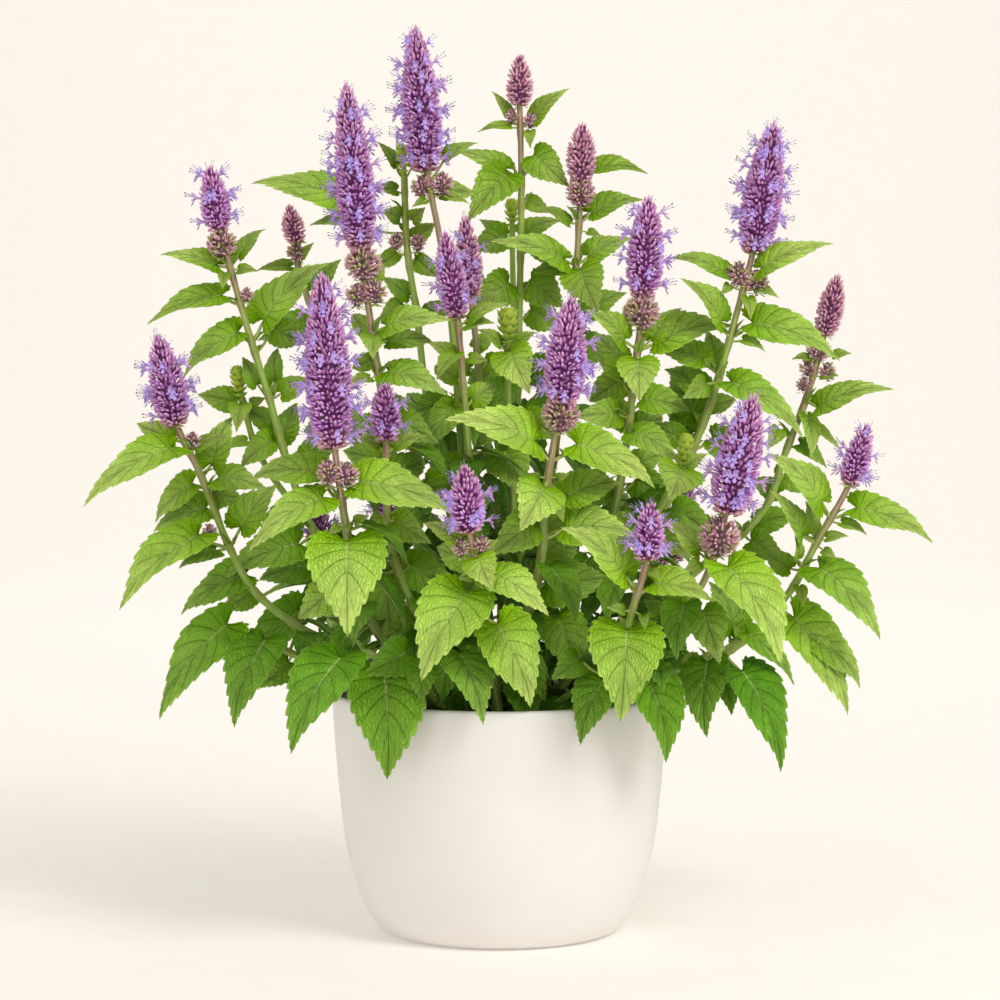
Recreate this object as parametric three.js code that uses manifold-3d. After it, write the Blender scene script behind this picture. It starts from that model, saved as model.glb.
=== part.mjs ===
// A potted anise hyssop: a white pot, its soil, leafy square stems and mauve flower spikes.
// Millimetres, +Z up. The origin is on the floor under the middle of the pot, and -Y is the front.
import * as THREE from "three";
import { mergeVertices } from "three/addons/utils/BufferGeometryUtils.js";
import Module from "manifold-3d";

// Driving dimensions
const GAP = 0.35; // air left between neighbouring pieces
const EYE_DISTANCE = 2000; // the plant's places across were read by an eye this far in front
const EYE_HEIGHT = 390;

const POT_HEIGHT = 158;
const POT_WALL = 5;
const POT_SIDES = 32;
const POT_FOOT_RADIUS = 72;
// Radius and height along the pot's outside, from the foot to the rim
const POT_OUTSIDE = [[79, 2.6], [87, 12], [95, 30], [101.5, 54], [106.6, 94], [111, 153]];
const POT_INSIDE = [[106, 153], [96.5, 54], [84, 14], [74, 8]];

const SOIL_TOP = 146;
const SOIL_DEPTH = 60;
const SOIL_SIDES = 16;
const HOLE_DEPTH = 12;
const HOLE_CLEARANCE = 0.6;

const STEM_SAMPLES = 60;
const STEM_STRAIGHT = 3; // how far a stem rises straight out of the soil before it bends
const STEM_FOOT_RADIUS = 3.1;
const STEM_TOP_RADIUS = 1.9;
const STEM_TOLERANCE = 1.6; // how far a straight stretch of a stem may lie off its curve

const LEAF_THICKNESS = 1.5; // at the rib, thinning to the toothed edge
const LEAF_ASPECT = 1.45; // length over width of a blade seen square on
const LEAF_ARCH = 0.1; // rise of the rib over its chord, as a share of the length
const LEAF_FOLD = 0.08; // rise of the edge over the rib, as a share of the half width
const PAIR_LEAN = 0.5; // the most that a leaf seen from the side leans back, as a share of its length
const LEAF_WIDEST = 0.28; // place of the greatest width along the blade
const LEAF_WIDEST_POWER = 0.55; // the exponent that puts it there
const LEAF_ROUNDNESS = [0.9, 1.15]; // exponents that shape the outline behind and before that place
const BLADE_START = -0.03; // where the blade begins, as a share of its length
const BLADE_ROOT = -0.05; // where a blade without its petiole is closed
const SHOULDER = [-0.015, 0.5]; // along the length and across the half width, for a large leaf
const TEETH_FROM = 0.13;
const TEETH_SPAN = 0.7;
const TOOTH_BACK = 0.03; // from a tooth's point to the notch behind it
const TOOTH_OUT = 1.08;
const NOTCH_IN = 0.86;
const TEETH_BY_WIDTH = [[26, 4], [15, 3], [0, 2]]; // least width, teeth on each side
const PETIOLE_RADIUS = 1.05;
const PETIOLE_LEAN = 0.3; // share of the tip's depth that the base of a blade has
const RIB_STATION = 0.45;

const FLORET_REACH = 0.3; // how far the florets stand out of a head, as a share of its radius
const FLORET_LEAN = 0.6; // how far their tips lean up, in rows
const HEAD_ROOT = 0.25; // how far a stalk runs up into its head, as a share of the head
const HEAD_SPAN = [0.06, 0.96]; // the part of a half turn of the sine that a head's outline follows
const HEAD_FULLNESS = 0.55; // exponent that makes the outline full
const SPIKE_BLUNTNESS = 0.72; // exponent that puts the widest place of a spike below its middle
const WIDE_HEAD = [11, 6, 9]; // least radius, florets around, millimetres between rows
const SLIM_HEAD = [0, 5, 8];
const LEAST_ROWS = 3;
const WIDE_CLUSTER = 8.5;
const BUD_LATTICE = [5, 4];
const BUD_ROOT = 3;

const SEED = 4271;

// Each stem: depth is the place of its top front to back, foot its place in the soil, and course the
// places [across, up] that it passes, from the soil up. Above `split` it is the brown flower stalk.
// spike: [base across, base up, tip across, tip up, radius]. heads: smaller heads on the stalk, as
// [across, up, radius]. leaves: [height of the joint on the stem, base across, base up, tip across,
// tip up, seen width, depth of the tip from the joint where the rule doesn't give it].
const STEMS = [
  {
    name: "01", depth: -10, foot: [-44, 2], split: 322,
    course: [[-72, 174], [-110, 188], [-160, 222], [-178, 252], [-197, 300], [-213, 334]],
    spike: [-214, 335, -226, 395, 12],
    leaves: [
      [316, -216, 320, -276, 281, 24], [300, -191, 309, -176, 341, 22, 34],
      [292, -203, 296, -228, 270, 18, 23], [292, -186, 300, -153, 292, 18, -8],
      [253, -199, 262, -253, 213, 28], [253, -188, 252, -213, 240, 14, -16],
      [253, -172, 267, -147, 296, 24, 25], [222, -168, 236, -212, 209, 22, 27],
    ],
  },
  {
    name: "02", depth: -30, foot: [-48, -16],
    course: [[-80, 168], [-110, 173], [-137, 183], [-160, 195]],
    leaves: [
      [194, -180, 203, -227, 139, 30], [190, -155, 193, -177, 134, 35], [184, -132, 212, -167, 170, 24, 27],
    ],
  },
  {
    name: "03", depth: 20, foot: [-30, 14], split: 443,
    course: [
      [-64, 190], [-100, 230], [-125, 268], [-141, 312], [-152, 352], [-163, 387], [-177, 436], [-184, 461],
    ],
    spike: [-185, 463, -191, 506, 10],
    heads: [[-183, 455, 10]],
    leaves: [
      [437, -186, 440, -224, 447, 13], [437, -172, 446, -154, 464, 12, 23], [412, -183, 420, -233, 401, 16],
      [387, -172, 396, -210, 366, 20], [387, -156, 404, -112, 442, 26, 23],
      [380, -150, 398, -131, 390, 20, 44], [262, -133, 256, -183, 234, 28, -20],
      [300, -128, 312, -108, 330, 20, 40],
    ],
  },
  {
    name: "04", depth: 130, foot: [-20, 38], split: 440,
    course: [[-48, 240], [-90, 330], [-120, 400], [-133, 440], [-134, 454]],
    spike: [-134, 455, -139, 480, 8],
    heads: [[-134, 449, 7]],
    leaves: [
      [395, -126, 402, -160, 390, 20, 23], [330, -100, 342, -130, 330, 26, 51],
      [330, -80, 345, -60, 352, 22, 17],
    ],
  },
  {
    name: "05", depth: 35, foot: [-40, 26],
    course: [[-80, 210], [-120, 262], [-150, 300], [-163, 325], [-169, 349]],
    bud: [-170, 350, -174, 375, 5],
    leaves: [
      [343, -174, 350, -200, 355, 18, 13], [341, -171, 348, -174, 330, 16, -8],
      [270, -134, 278, -160, 262, 24, 34],
    ],
  },
  {
    name: "06", depth: -20, foot: [-22, -18], split: 403,
    course: [[-34, 200], [-56, 260], [-72, 320], [-79, 360], [-84, 395], [-92, 449]],
    spike: [-92, 451, -101, 560, 12.5],
    heads: [[-90, 442, 12], [-94, 421, 8], [-82, 423, 8]],
    leaves: [
      [395, -75, 400, -31, 404, 18], [393, -83, 394, -84, 378, 17], [388, -74, 390, -42, 388, 14, 34],
      [366, -74, 370, -34, 354, 20, -14], [330, -66, 338, -40, 322, 22], [330, -82, 336, -100, 322, 20, 27],
      [290, -50, 298, -30, 280, 24, 30],
    ],
  },
  {
    name: "07", depth: 30, foot: [-12, 12], split: 476,
    course: [[-16, 200], [-24, 300], [-30, 380], [-34, 420], [-40, 460], [-48, 500]],
    spike: [-49, 502, -56, 597, 13],
    heads: [[-51, 492, 8], [-38, 494, 8]],
    leaves: [
      [430, -28, 438, -8, 428, 18, 23],
    ],
  },
  {
    name: "08", depth: 55, foot: [-14, 30],
    course: [[-30, 260], [-48, 350], [-55, 410], [-61, 450], [-63, 499]],
    bud: [-63, 500, -65, 520, 4.5],
    leaves: [
      [468, -66, 472, -78, 476, 13, -4], [468, -58, 470, -49, 478, 12, -4],
      [474, -102, 482, -164, 494, 24, 27], [446, -68, 448, -82, 438, 12, 20],
      [400, -48, 408, -28, 414, 14, 20],
    ],
  },
  {
    name: "09", depth: -20, foot: [-2, -20], split: 388,
    course: [[-8, 210], [-15, 270], [-21, 320], [-25, 370], [-28, 405]],
    spike: [-28, 406, -37, 463, 10],
    leaves: [
      [378, -29, 382, -42, 364, 12, -8], [345, -30, 347, -48, 318, 20], [345, -18, 352, -2, 362, 17, 20],
      [300, -26, 308, -50, 296, 24, 34],
    ],
  },
  {
    name: "10", depth: 22, foot: [4, 4], split: 408,
    course: [[2, 220], [-6, 300], [-13, 360], [-17, 400], [-19, 419]],
    spike: [-19, 420, -23, 473, 9],
    leaves: [
      [370, -8, 376, 10, 372, 16, 23],
    ],
  },
  {
    name: "11", depth: 62, foot: [4, 26], split: 533,
    course: [[6, 240], [11, 340], [13, 420], [14, 495], [13, 544]],
    spike: [13, 545, 13, 578, 9],
    leaves: [
      [528, 22, 536, 46, 556, 13], [495, 4, 503, -32, 514, 14, 13], [490, 5, 500, -22, 468, 28, -14],
      [495, 22, 512, 46, 491, 24, -6], [450, 4, 460, -20, 450, 20, 23], [420, 6, 428, -20, 412, 26, -6],
      [420, 20, 430, 42, 412, 26, 17], [360, 2, 372, -22, 362, 24, 40],
    ],
  },
  {
    name: "12", depth: 105, foot: [14, 40],
    course: [[10, 300], [9, 400], [8, 464]],
    bud: [8, 465, 8, 483, 5],
    leaves: [
      [455, 15, 461, 42, 469, 14, 13], [455, 2, 460, -14, 470, 12, 13], [400, 20, 410, 40, 400, 22, 34],
      [340, 26, 352, 52, 346, 26, 51],
    ],
  },
  {
    name: "13", depth: 48, foot: [20, 14], split: 474,
    course: [[26, 240], [38, 330], [46, 400], [51, 450], [53, 494]],
    spike: [53, 495, 54, 534, 10],
    heads: [[53, 488, 10]],
    leaves: [
      [466, 60, 474, 95, 483, 16], [440, 42, 444, -8, 456, 18, -8], [440, 58, 446, 87, 458, 17, 13],
      [436, 52, 437, 65, 408, 30, -16], [430, 42, 438, 20, 434, 12, 17], [380, 54, 388, 76, 380, 22, 27],
      [370, 32, 376, 14, 360, 22, 23],
    ],
  },
  {
    name: "14", depth: 0, foot: [10, -12],
    course: [[10, 210], [9, 270], [6, 330], [5, 386]],
    bud: [5, 387, 5, 411, 6.5],
    leaves: [
      [380, 6, 383, 20, 355, 28, -14], [315, 3, 318, 18, 286, 30, -18], [330, 18, 340, 40, 326, 20, 20],
    ],
  },
  {
    name: "15", depth: -20, foot: [24, -14], split: 394,
    course: [[46, 210], [68, 250], [80, 300], [88, 360], [94, 418]],
    spike: [94, 420, 98, 486, 12],
    heads: [[93, 410, 12]],
    leaves: [
      [385, 82, 391, 56, 411, 18], [385, 102, 389, 155, 400, 22], [380, 91, 378, 92, 350, 28, -16],
      [355, 80, 364, 58, 350, 22, 27], [338, 78, 342, 48, 340, 20, -8], [342, 94, 352, 126, 344, 20, 23],
      [325, 88, 330, 119, 310, 20, -8], [290, 70, 298, 48, 280, 24, 27], [290, 90, 298, 116, 284, 24, 34],
    ],
  },
  {
    name: "16", depth: -45, foot: [32, -24],
    course: [[64, 200], [94, 256], [112, 292], [118, 304]],
    bud: [118, 305, 124, 330, 5],
    leaves: [
      [295, 120, 306, 112, 284, 32, -26], [262, 106, 264, 128, 246, 20, -12],
      [262, 88, 270, 66, 262, 20, 17],
    ],
  },
  {
    name: "17", depth: -10, foot: [38, -2], split: 440,
    course: [[78, 225], [110, 282], [130, 325], [144, 365], [155, 405], [166, 447]],
    spike: [167, 449, 180, 535, 13],
    heads: [[157, 435, 8], [169, 430, 8]],
    leaves: [
      [427, 149, 435, 109, 445, 13], [427, 172, 438, 220, 454, 17], [392, 146, 403, 119, 432, 18],
      [392, 166, 402, 225, 377, 24], [362, 136, 362, 120, 352, 16], [366, 134, 378, 100, 384, 18, 23],
      [362, 152, 363, 201, 326, 22], [318, 140, 326, 168, 306, 22, 27], [268, 114, 280, 142, 262, 24, 23],
    ],
  },
  {
    name: "18", depth: 42, foot: [36, 18], split: 360,
    course: [[80, 196], [130, 238], [174, 278], [189, 318], [203, 355], [213, 392]],
    spike: [214, 394, 223, 435, 9],
    heads: [[210, 385, 8.5]],
    leaves: [
      [350, 210, 347, 260, 359, 17], [346, 202, 341, 205, 312, 14, -8], [325, 184, 332, 176, 318, 12, -8],
      [320, 198, 322, 216, 306, 12, 6], [262, 166, 258, 190, 246, 22, -10],
    ],
  },
  {
    name: "19", depth: -20, foot: [46, -16], split: 284,
    course: [[78, 164], [112, 170], [150, 184], [190, 222], [210, 258], [230, 294]],
    spike: [231, 296, 243, 336, 9],
    leaves: [
      [273, 235, 280, 287, 257, 20], [273, 213, 284, 176, 317, 22], [258, 206, 264, 202, 285, 12, 17],
      [256, 200, 262, 178, 292, 14, -10], [238, 211, 240, 253, 193, 28], [214, 194, 208, 231, 142, 32],
    ],
  },
  {
    name: "20", depth: -112, foot: [36, -38], split: 247,
    course: [[72, 166], [104, 178], [120, 206], [138, 238], [149, 275]],
    spike: [150, 277, 168, 356, 14],
    heads: [[145, 262, 13]],
    leaves: [
      [244, 150, 241, 187, 175, 35], [243, 132, 251, 108, 271, 14], [210, 134, 212, 146, 176, 26, -10],
    ],
  },
  {
    name: "21", depth: -140, foot: [26, -52], split: 232,
    course: [[54, 162], [78, 186], [90, 220], [97, 244]],
    spike: [97, 246, 100, 284, 10],
    leaves: [
      [223, 83, 236, 40, 268, 22], [223, 102, 230, 142, 218, 18], [198, 84, 199, 80, 137, 47],
    ],
  },
  {
    name: "22", depth: -105, foot: [8, -46], split: 317,
    course: [[14, 190], [27, 245], [31, 295], [35, 320], [40, 347]],
    spike: [41, 349, 47, 420, 13],
    heads: [[40, 343, 12]],
    leaves: [
      [310, 23, 324, -37, 339, 26], [310, 50, 322, 103, 293, 24], [298, 29, 294, 13, 264, 32],
      [298, 44, 288, 80, 297, 22, 37], [258, 21, 270, -8, 248, 26], [258, 43, 267, 90, 262, 26],
      [228, 30, 230, 72, 234, 32, 27], [204, 38, 207, 53, 164, 30],
    ],
  },
  {
    name: "23", depth: -150, foot: [-10, -56], split: 256,
    course: [[-11, 180], [-13, 220], [-17, 248], [-20, 263]],
    spike: [-21, 264, -23, 309, 11],
    leaves: [
      [250, -26, 258, -52, 270, 13], [247, -15, 247, -5, 225, 22, -16], [237, -5, 236, 33, 208, 22],
      [236, -19, 236, -31, 232, 12, -6], [222, -22, 224, -53, 165, 42], [210, -2, 203, 21, 147, 36],
    ],
  },
  {
    name: "24", depth: -60, foot: [-20, -34], split: 305,
    course: [[-50, 200], [-68, 240], [-75, 280], [-75, 324]],
    spike: [-75, 325, -76, 363, 10],
    leaves: [
      [272, -69, 271, -45, 256, 22], [240, -77, 236, -74, 197, 26], [236, -60, 242, -27, 222, 26, 30],
    ],
  },
  {
    name: "25", depth: -105, foot: [-36, -40], split: 294,
    course: [[-60, 172], [-80, 196], [-94, 230], [-103, 275], [-109, 318]],
    spike: [-110, 320, -118, 436, 14.5],
    heads: [[-113, 304, 8], [-101, 303, 8]],
    leaves: [
      [283, -117, 287, -167, 251, 22], [283, -93, 297, -30, 276, 26], [262, -101, 258, -101, 194, 50],
      [280, -120, 304, -168, 298, 18, 34], [220, -108, 228, -134, 206, 26, 23],
    ],
  },
  {
    name: "26", depth: -105, foot: [-42, -46],
    course: [[-58, 166], [-76, 178], [-92, 186]],
    leaves: [
      [177, -77, 171, -75, 99, 48], [184, -105, 181, -139, 116, 38], [172, -62, 184, -92, 168, 25, -14],
    ],
  },
  {
    name: "27", depth: -100, foot: [0, -66],
    course: [[-6, 172], [-14, 188]],
    leaves: [
      [182, -27, 184, -11, 136, 30], [178, -34, 178, -39, 146, 22, 4], [176, 12, 178, 33, 147, 20, 2],
    ],
  },
  {
    name: "28", depth: -100, foot: [44, -44],
    course: [[62, 164], [78, 172], [92, 182]],
    leaves: [
      [170, 69, 166, 53, 122, 26], [176, 96, 169, 111, 110, 32], [180, 104, 200, 124, 186, 26, 30],
    ],
  },
  {
    name: "29", depth: -55, foot: [52, -26],
    course: [[86, 166], [120, 174], [150, 188]],
    leaves: [
      [184, 138, 178, 137, 127, 30], [186, 160, 172, 187, 104, 32], [188, 163, 197, 196, 162, 14, 6],
    ],
  },
];

// The back of the plant is out of sight, so its stems stand by a rule: fanned out behind the others,
// lower than the foliage before them, each with pairs of leaves set crosswise and most with a spike.
const BACK_COUNT = 5;
const BACK_FROM_DEGREES = 32;
const BACK_TO_DEGREES = 148;
const BACK_FOOT_RADIUS = 62;
const BACK_REACH = [150, 195];
const BACK_HEIGHT = [215, 262];
const BACK_SPIKE_LENGTH = [42, 56];
const BACK_SPIKE_RADIUS = 10.5;
const BACK_UNEVENNESS = 0.06; // by which share their reach varies either way
const BACK_SPLIT = 0.9; // share of the length above which the flower stalk begins
// Places that a back stem passes: shares of its way outward, of its way up and of its bow
const BACK_COURSE = [[0.55, 0.3, 0.6], [0.85, 0.62, 1], [1, 1, 0.5]];
const BACK_JOINTS = [0.42, 0.62, 0.82];
const BACK_LEAF_LENGTH = [62, 44];
const BACK_LEAF_DROOP = -0.35;
const BACK_LEAF_LIFT = 60; // the shift that lifts a leaf by one more unit of slope
const BACK_PETIOLE = [9, 0.08, 5]; // outward, outward for each millimetre of the leaf, and up

// Depths, in millimetres, through which a leaf is moved along the line of sight until it is clear
const LEAF_SHIFTS = [0, -6, 6, -12, 12, -18, 18, -25, 25, -33, 33, -42, 42, -52, 52];
const BASE_SHARES = [0.35, 1];
const LEAF_SIZES = [1, 0.88, 0.76];
// Sideways bows, in millimetres, through which a stem is moved until it is clear
const STEM_BOWS = [0, -5, 5, -10, 10, -16, 16, -22, 22, -30, 30];

const WELD = 1e-4; // vertices closer than this are one
const SEARCH_STEPS = 24;
const NEAR_SHARE = 1e-3;
const SMALL_SHARE = 1e-4;

const UP = new THREE.Vector3(0, 0, 1);
const wasm = await Module();
wasm.setup();

let seed = SEED;
function random() {
  seed = (seed * 16807) % 2147483647;
  return seed / 2147483647;
}

function between([low, high], share) {
  return low + (high - low) * share;
}

function outward(heading) {
  return new THREE.Vector3(Math.cos(heading), Math.sin(heading), 0);
}

// The true place of what an eye in front sees at `across` and `up` in the plane of the pot's axis
function sight(across, up, depth) {
  const spread = 1 + depth / EYE_DISTANCE;
  return new THREE.Vector3(across * spread, depth, EYE_HEIGHT + (up - EYE_HEIGHT) * spread);
}

function geometryOf(points, faces) {
  const geometry = new THREE.BufferGeometry();
  const places = points.flatMap((point) => [point.x, point.y, point.z]);
  geometry.setAttribute("position", new THREE.Float32BufferAttribute(places, 3));
  geometry.setIndex(faces.flat());
  return geometry;
}

function solidOf(geometry) {
  const bare = geometry.clone();
  bare.deleteAttribute("normal");
  bare.deleteAttribute("uv");
  const merged = mergeVertices(bare, WELD);
  return new wasm.Manifold(new wasm.Mesh({
    numProp: 3,
    vertProperties: new Float32Array(merged.attributes.position.array),
    triVerts: new Uint32Array(merged.index.array),
  }));
}

// The largest body that the fused solids make, without sealed hollows
function fuse(solids) {
  const pieces = wasm.Manifold.union(solids).decompose();
  return pieces.reduce((best, piece) => (piece.volume() > best.volume() ? piece : best));
}

function geometryFrom(solid) {
  const mesh = solid.getMesh();
  const geometry = new THREE.BufferGeometry();
  geometry.setAttribute("position", new THREE.Float32BufferAttribute(mesh.vertProperties, 3));
  geometry.setIndex(Array.from(mesh.triVerts));
  return geometry;
}

// A closed skin over rings of equally many points, each ring turning left around the way ahead
function loft(rings) {
  const size = rings[0].length;
  const points = rings.flat();
  const faces = [];
  for (let i = 0; i + 1 < rings.length; i++) {
    for (let k = 0; k < size; k++) {
      const a = i * size + k;
      const b = i * size + ((k + 1) % size);
      faces.push([a, b, b + size], [a, b + size, a + size]);
    }
  }
  const last = (rings.length - 1) * size;
  for (let k = 1; k + 1 < size; k++) {
    faces.push([0, k + 1, k], [last, last + k, last + k + 1]);
  }
  return geometryOf(points, faces);
}

// Two directions across the way ahead, the first as near to +X as it can be
function crossAxes(ahead) {
  const side = new THREE.Vector3(1, 0, 0).addScaledVector(ahead, -ahead.x).normalize();
  return [side, new THREE.Vector3().crossVectors(ahead, side)];
}

function ring(centre, ahead, radius, sides) {
  const [side, up] = crossAxes(ahead);
  return Array.from({ length: sides }, (_, k) => {
    const angle = (2 * Math.PI * k) / sides;
    const spoke = side.clone().multiplyScalar(radius * Math.cos(angle));
    return centre.clone().add(spoke).addScaledVector(up, radius * Math.sin(angle));
  });
}

// The line that a stem follows, from the bottom of its hole in the soil to its top
function stemPath(stem, bow) {
  const [, footY] = stem.foot;
  const [, high] = stem.course[stem.course.length - 1];
  const points = footPoints(stem);
  for (const [across, up] of stem.course) {
    const share = (up - SOIL_TOP) / (high - SOIL_TOP);
    const lean = (stem.depth - footY) * Math.sin((share * Math.PI) / 2);
    points.push(sight(across, up, footY + lean + bow * Math.sin(share * Math.PI)));
  }
  const end = stem.spike ?? stem.bud;
  if (end) {
    const [baseX, baseZ, tipX, tipZ] = end;
    points.push(sight(between([baseX, tipX], HEAD_ROOT), between([baseZ, tipZ], HEAD_ROOT), stem.depth));
  }
  return pathOf(points);
}

// The two ends of a stem's straight foot in its hole
function footPoints({ foot: [x, y] }) {
  const heights = [SOIL_TOP - HOLE_DEPTH + GAP, SOIL_TOP + STEM_STRAIGHT];
  return heights.map((height) => new THREE.Vector3(x, y, height));
}

// The corners of the straight stretches that follow a list of points within the tolerance
function straighten(points) {
  const first = points[0];
  const last = points[points.length - 1];
  const chord = new THREE.Line3(first, last);
  const nearest = new THREE.Vector3();
  const gaps = points.map((point) => chord.closestPointToPoint(point, true, nearest).distanceTo(point));
  const worst = Math.max(...gaps);
  if (worst < STEM_TOLERANCE) {
    return [first, last];
  }
  const corner = gaps.indexOf(worst);
  return [...straighten(points.slice(0, corner + 1)), ...straighten(points.slice(corner)).slice(1)];
}

// A path of straight stretches along a smooth curve through the points, straight inside the soil's hole
function pathOf(points) {
  const smooth = new THREE.CatmullRomCurve3(points.slice(1), false, "centripetal");
  const path = new THREE.CurvePath();
  const corners = [points[0], ...straighten(smooth.getSpacedPoints(STEM_SAMPLES))];
  for (let i = 0; i + 1 < corners.length; i++) {
    path.add(new THREE.LineCurve3(corners[i], corners[i + 1]));
  }
  path.corners = path.getCurveLengths().map((length) => length / path.getLength());
  return path;
}

// The share of a path's length at which it is as high as `up`, seen from in front
function shareAt(path, up) {
  let low = 0;
  let high = 1;
  for (let i = 0; i < SEARCH_STEPS; i++) {
    const middle = (low + high) / 2;
    const point = path.getPointAt(middle);
    const seen = EYE_HEIGHT + (point.z - EYE_HEIGHT) / (1 + point.y / EYE_DISTANCE);
    if (seen < up) {
      low = middle;
    } else {
      high = middle;
    }
  }
  return (low + high) / 2;
}

function stemRadius(share) {
  return STEM_FOOT_RADIUS + (STEM_TOP_RADIUS - STEM_FOOT_RADIUS) * share;
}

// A square stem along the path, between two shares of its length
function stalk(path, from, to, extra = 0) {
  const corners = path.corners.filter((share) => share > from + NEAR_SHARE && share < to - NEAR_SHARE);
  const rings = [from, ...corners, to].map((share) => {
    const ahead = path.getTangentAt(Math.max(share - SMALL_SHARE, 0));
    ahead.add(path.getTangentAt(Math.min(share + SMALL_SHARE, 1)));
    return ring(path.getPointAt(share), ahead.normalize(), stemRadius(share) + extra, 4);
  });
  return solidOf(loft(rings));
}

// How full a head is at a share of its height
function headSwell(share, blunt) {
  return Math.pow(Math.sin(Math.PI * Math.pow(between(HEAD_SPAN, share), blunt)), HEAD_FULLNESS);
}

// A head of florets: a core whose staggered lattice has one pointed floret raised on each of its cells
function head(base, tip, radius, around, rows, blunt, extra = 0) {
  const ahead = tip.clone().sub(base);
  const length = ahead.length();
  ahead.normalize();
  const [side, up] = crossAxes(ahead);
  const place = (row, turn, reach) => base.clone()
    .addScaledVector(ahead, (length * row) / rows)
    .addScaledVector(side, reach * Math.cos(turn))
    .addScaledVector(up, reach * Math.sin(turn));
  const points = [];
  const faces = [];
  for (let row = 0; row <= rows; row++) {
    const core = (radius + extra) * headSwell(row / rows, blunt) * (1 - FLORET_REACH);
    for (let k = 0; k < around; k++) {
      points.push(place(row, (2 * Math.PI * (k + (row % 2) / 2)) / around, core));
    }
  }
  const at = (row, k) => row * around + ((k + around) % around);
  for (let row = 1; row < rows; row++) {
    const odd = row % 2;
    const reach = (radius + extra) * headSwell((row + FLORET_LEAN * 0.5) / rows, blunt);
    for (let k = 0; k < around; k++) {
      const turn = (2 * Math.PI * (k + (1 - odd) / 2)) / around;
      points.push(place(row + FLORET_LEAN, turn, reach));
      const apex = points.length - 1;
      const left = at(row, k - odd);
      const right = at(row, k + 1 - odd);
      faces.push([at(row - 1, k), right, apex], [right, at(row + 1, k), apex]);
      faces.push([at(row + 1, k), left, apex], [left, at(row - 1, k), apex]);
    }
  }
  points.push(place(0, 0, 0), place(rows, 0, 0));
  const bottom = points.length - 2;
  const top = points.length - 1;
  for (let k = 0; k < around; k++) {
    faces.push([at(0, k), at(0, k + 1), at(1, k)], [bottom, at(0, k + 1), at(0, k)]);
    const end = rows % 2;
    faces.push([at(rows, k + 1), at(rows, k), at(rows - 1, k + end)], [top, at(rows, k), at(rows, k + 1)]);
  }
  return solidOf(geometryOf(points, faces));
}

function bladeHalf(share) {
  const swell = Math.sin(Math.PI * Math.pow(share, LEAF_WIDEST_POWER));
  return Math.pow(Math.max(swell, 0), LEAF_ROUNDNESS[share < LEAF_WIDEST ? 0 : 1]);
}

// Places [along, across] on one side of a blade's edge, as a share of the length and in millimetres
function bladeEdge(half, teeth) {
  const edge = [[BLADE_START, PETIOLE_RADIUS]];
  if (teeth > TEETH_BY_WIDTH[1][1]) {
    edge.push([SHOULDER[0], half * SHOULDER[1]]);
  }
  for (let j = 0; j < teeth; j++) {
    const share = TEETH_FROM + (TEETH_SPAN * j) / (teeth - 1);
    edge.push([share, half * bladeHalf(share) * TOOTH_OUT]);
    edge.push([share + TOOTH_BACK, half * bladeHalf(share + TOOTH_BACK) * NOTCH_IN]);
  }
  return edge;
}

// A leaf with a toothed blade on its petiole, as one closed body. `extra` grows it all round.
function leafSolid(leaf, extra = 0, petiole = true) {
  const { joint, base, tip, width, normal, teeth } = leaf;
  const chord = tip.clone().sub(base);
  const length = chord.length();
  const ahead = chord.normalize();
  const side = new THREE.Vector3().crossVectors(normal, ahead);
  const place = (share, across, up) => base.clone()
    .addScaledVector(ahead, length * share)
    .addScaledVector(side, across)
    .addScaledVector(normal, up + LEAF_ARCH * length * 4 * share * (1 - share));
  const points = [];
  const add = (point) => points.push(point) - 1;
  const thick = LEAF_THICKNESS / 2 + extra;
  const stations = [BLADE_START, RIB_STATION];
  const top = stations.map((share) => add(place(share, 0, thick)));
  const bottom = stations.map((share) => add(place(share, 0, -thick)));
  const apex = add(place(1 + extra / length, 0, 0));
  const outline = (sign) => bladeEdge(width / 2, teeth).map(
    ([share, across]) => add(place(share, sign * (across + extra), LEAF_FOLD * across)),
  );
  const faces = [];
  const rim = {};
  for (const sign of [1, -1]) {
    const edge = [...outline(sign), apex];
    rim[sign] = edge[0];
    for (const [rib, flip] of [[[...top, apex], sign < 0], [[...bottom, apex], sign > 0]]) {
      strip(rib, edge, points, base, ahead).forEach((face) => faces.push(flip ? face.reverse() : face));
    }
  }
  const start = petiole ? joint : place(BLADE_ROOT, 0, 0);
  const axis = petiole ? base.clone().sub(joint).normalize() : ahead;
  const [across, over] = petioleAxes(axis, side);
  const radius = PETIOLE_RADIUS + extra;
  const left = add(start.clone().addScaledVector(across, radius));
  const right = add(start.clone().addScaledVector(across, -radius));
  const under = add(start.clone().addScaledVector(over, -radius));
  faces.push([left, right, top[0]], [left, top[0], rim[1]], [right, rim[-1], top[0]]);
  faces.push([right, bottom[0], rim[-1]], [right, under, bottom[0]]);
  faces.push([under, left, bottom[0]], [left, rim[1], bottom[0]], [right, left, under]);
  return solidOf(geometryOf(points, faces));
}

function petioleAxes(axis, side) {
  const across = side.clone().addScaledVector(axis, -axis.dot(side)).normalize();
  return [across, new THREE.Vector3().crossVectors(axis, across)];
}

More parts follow.
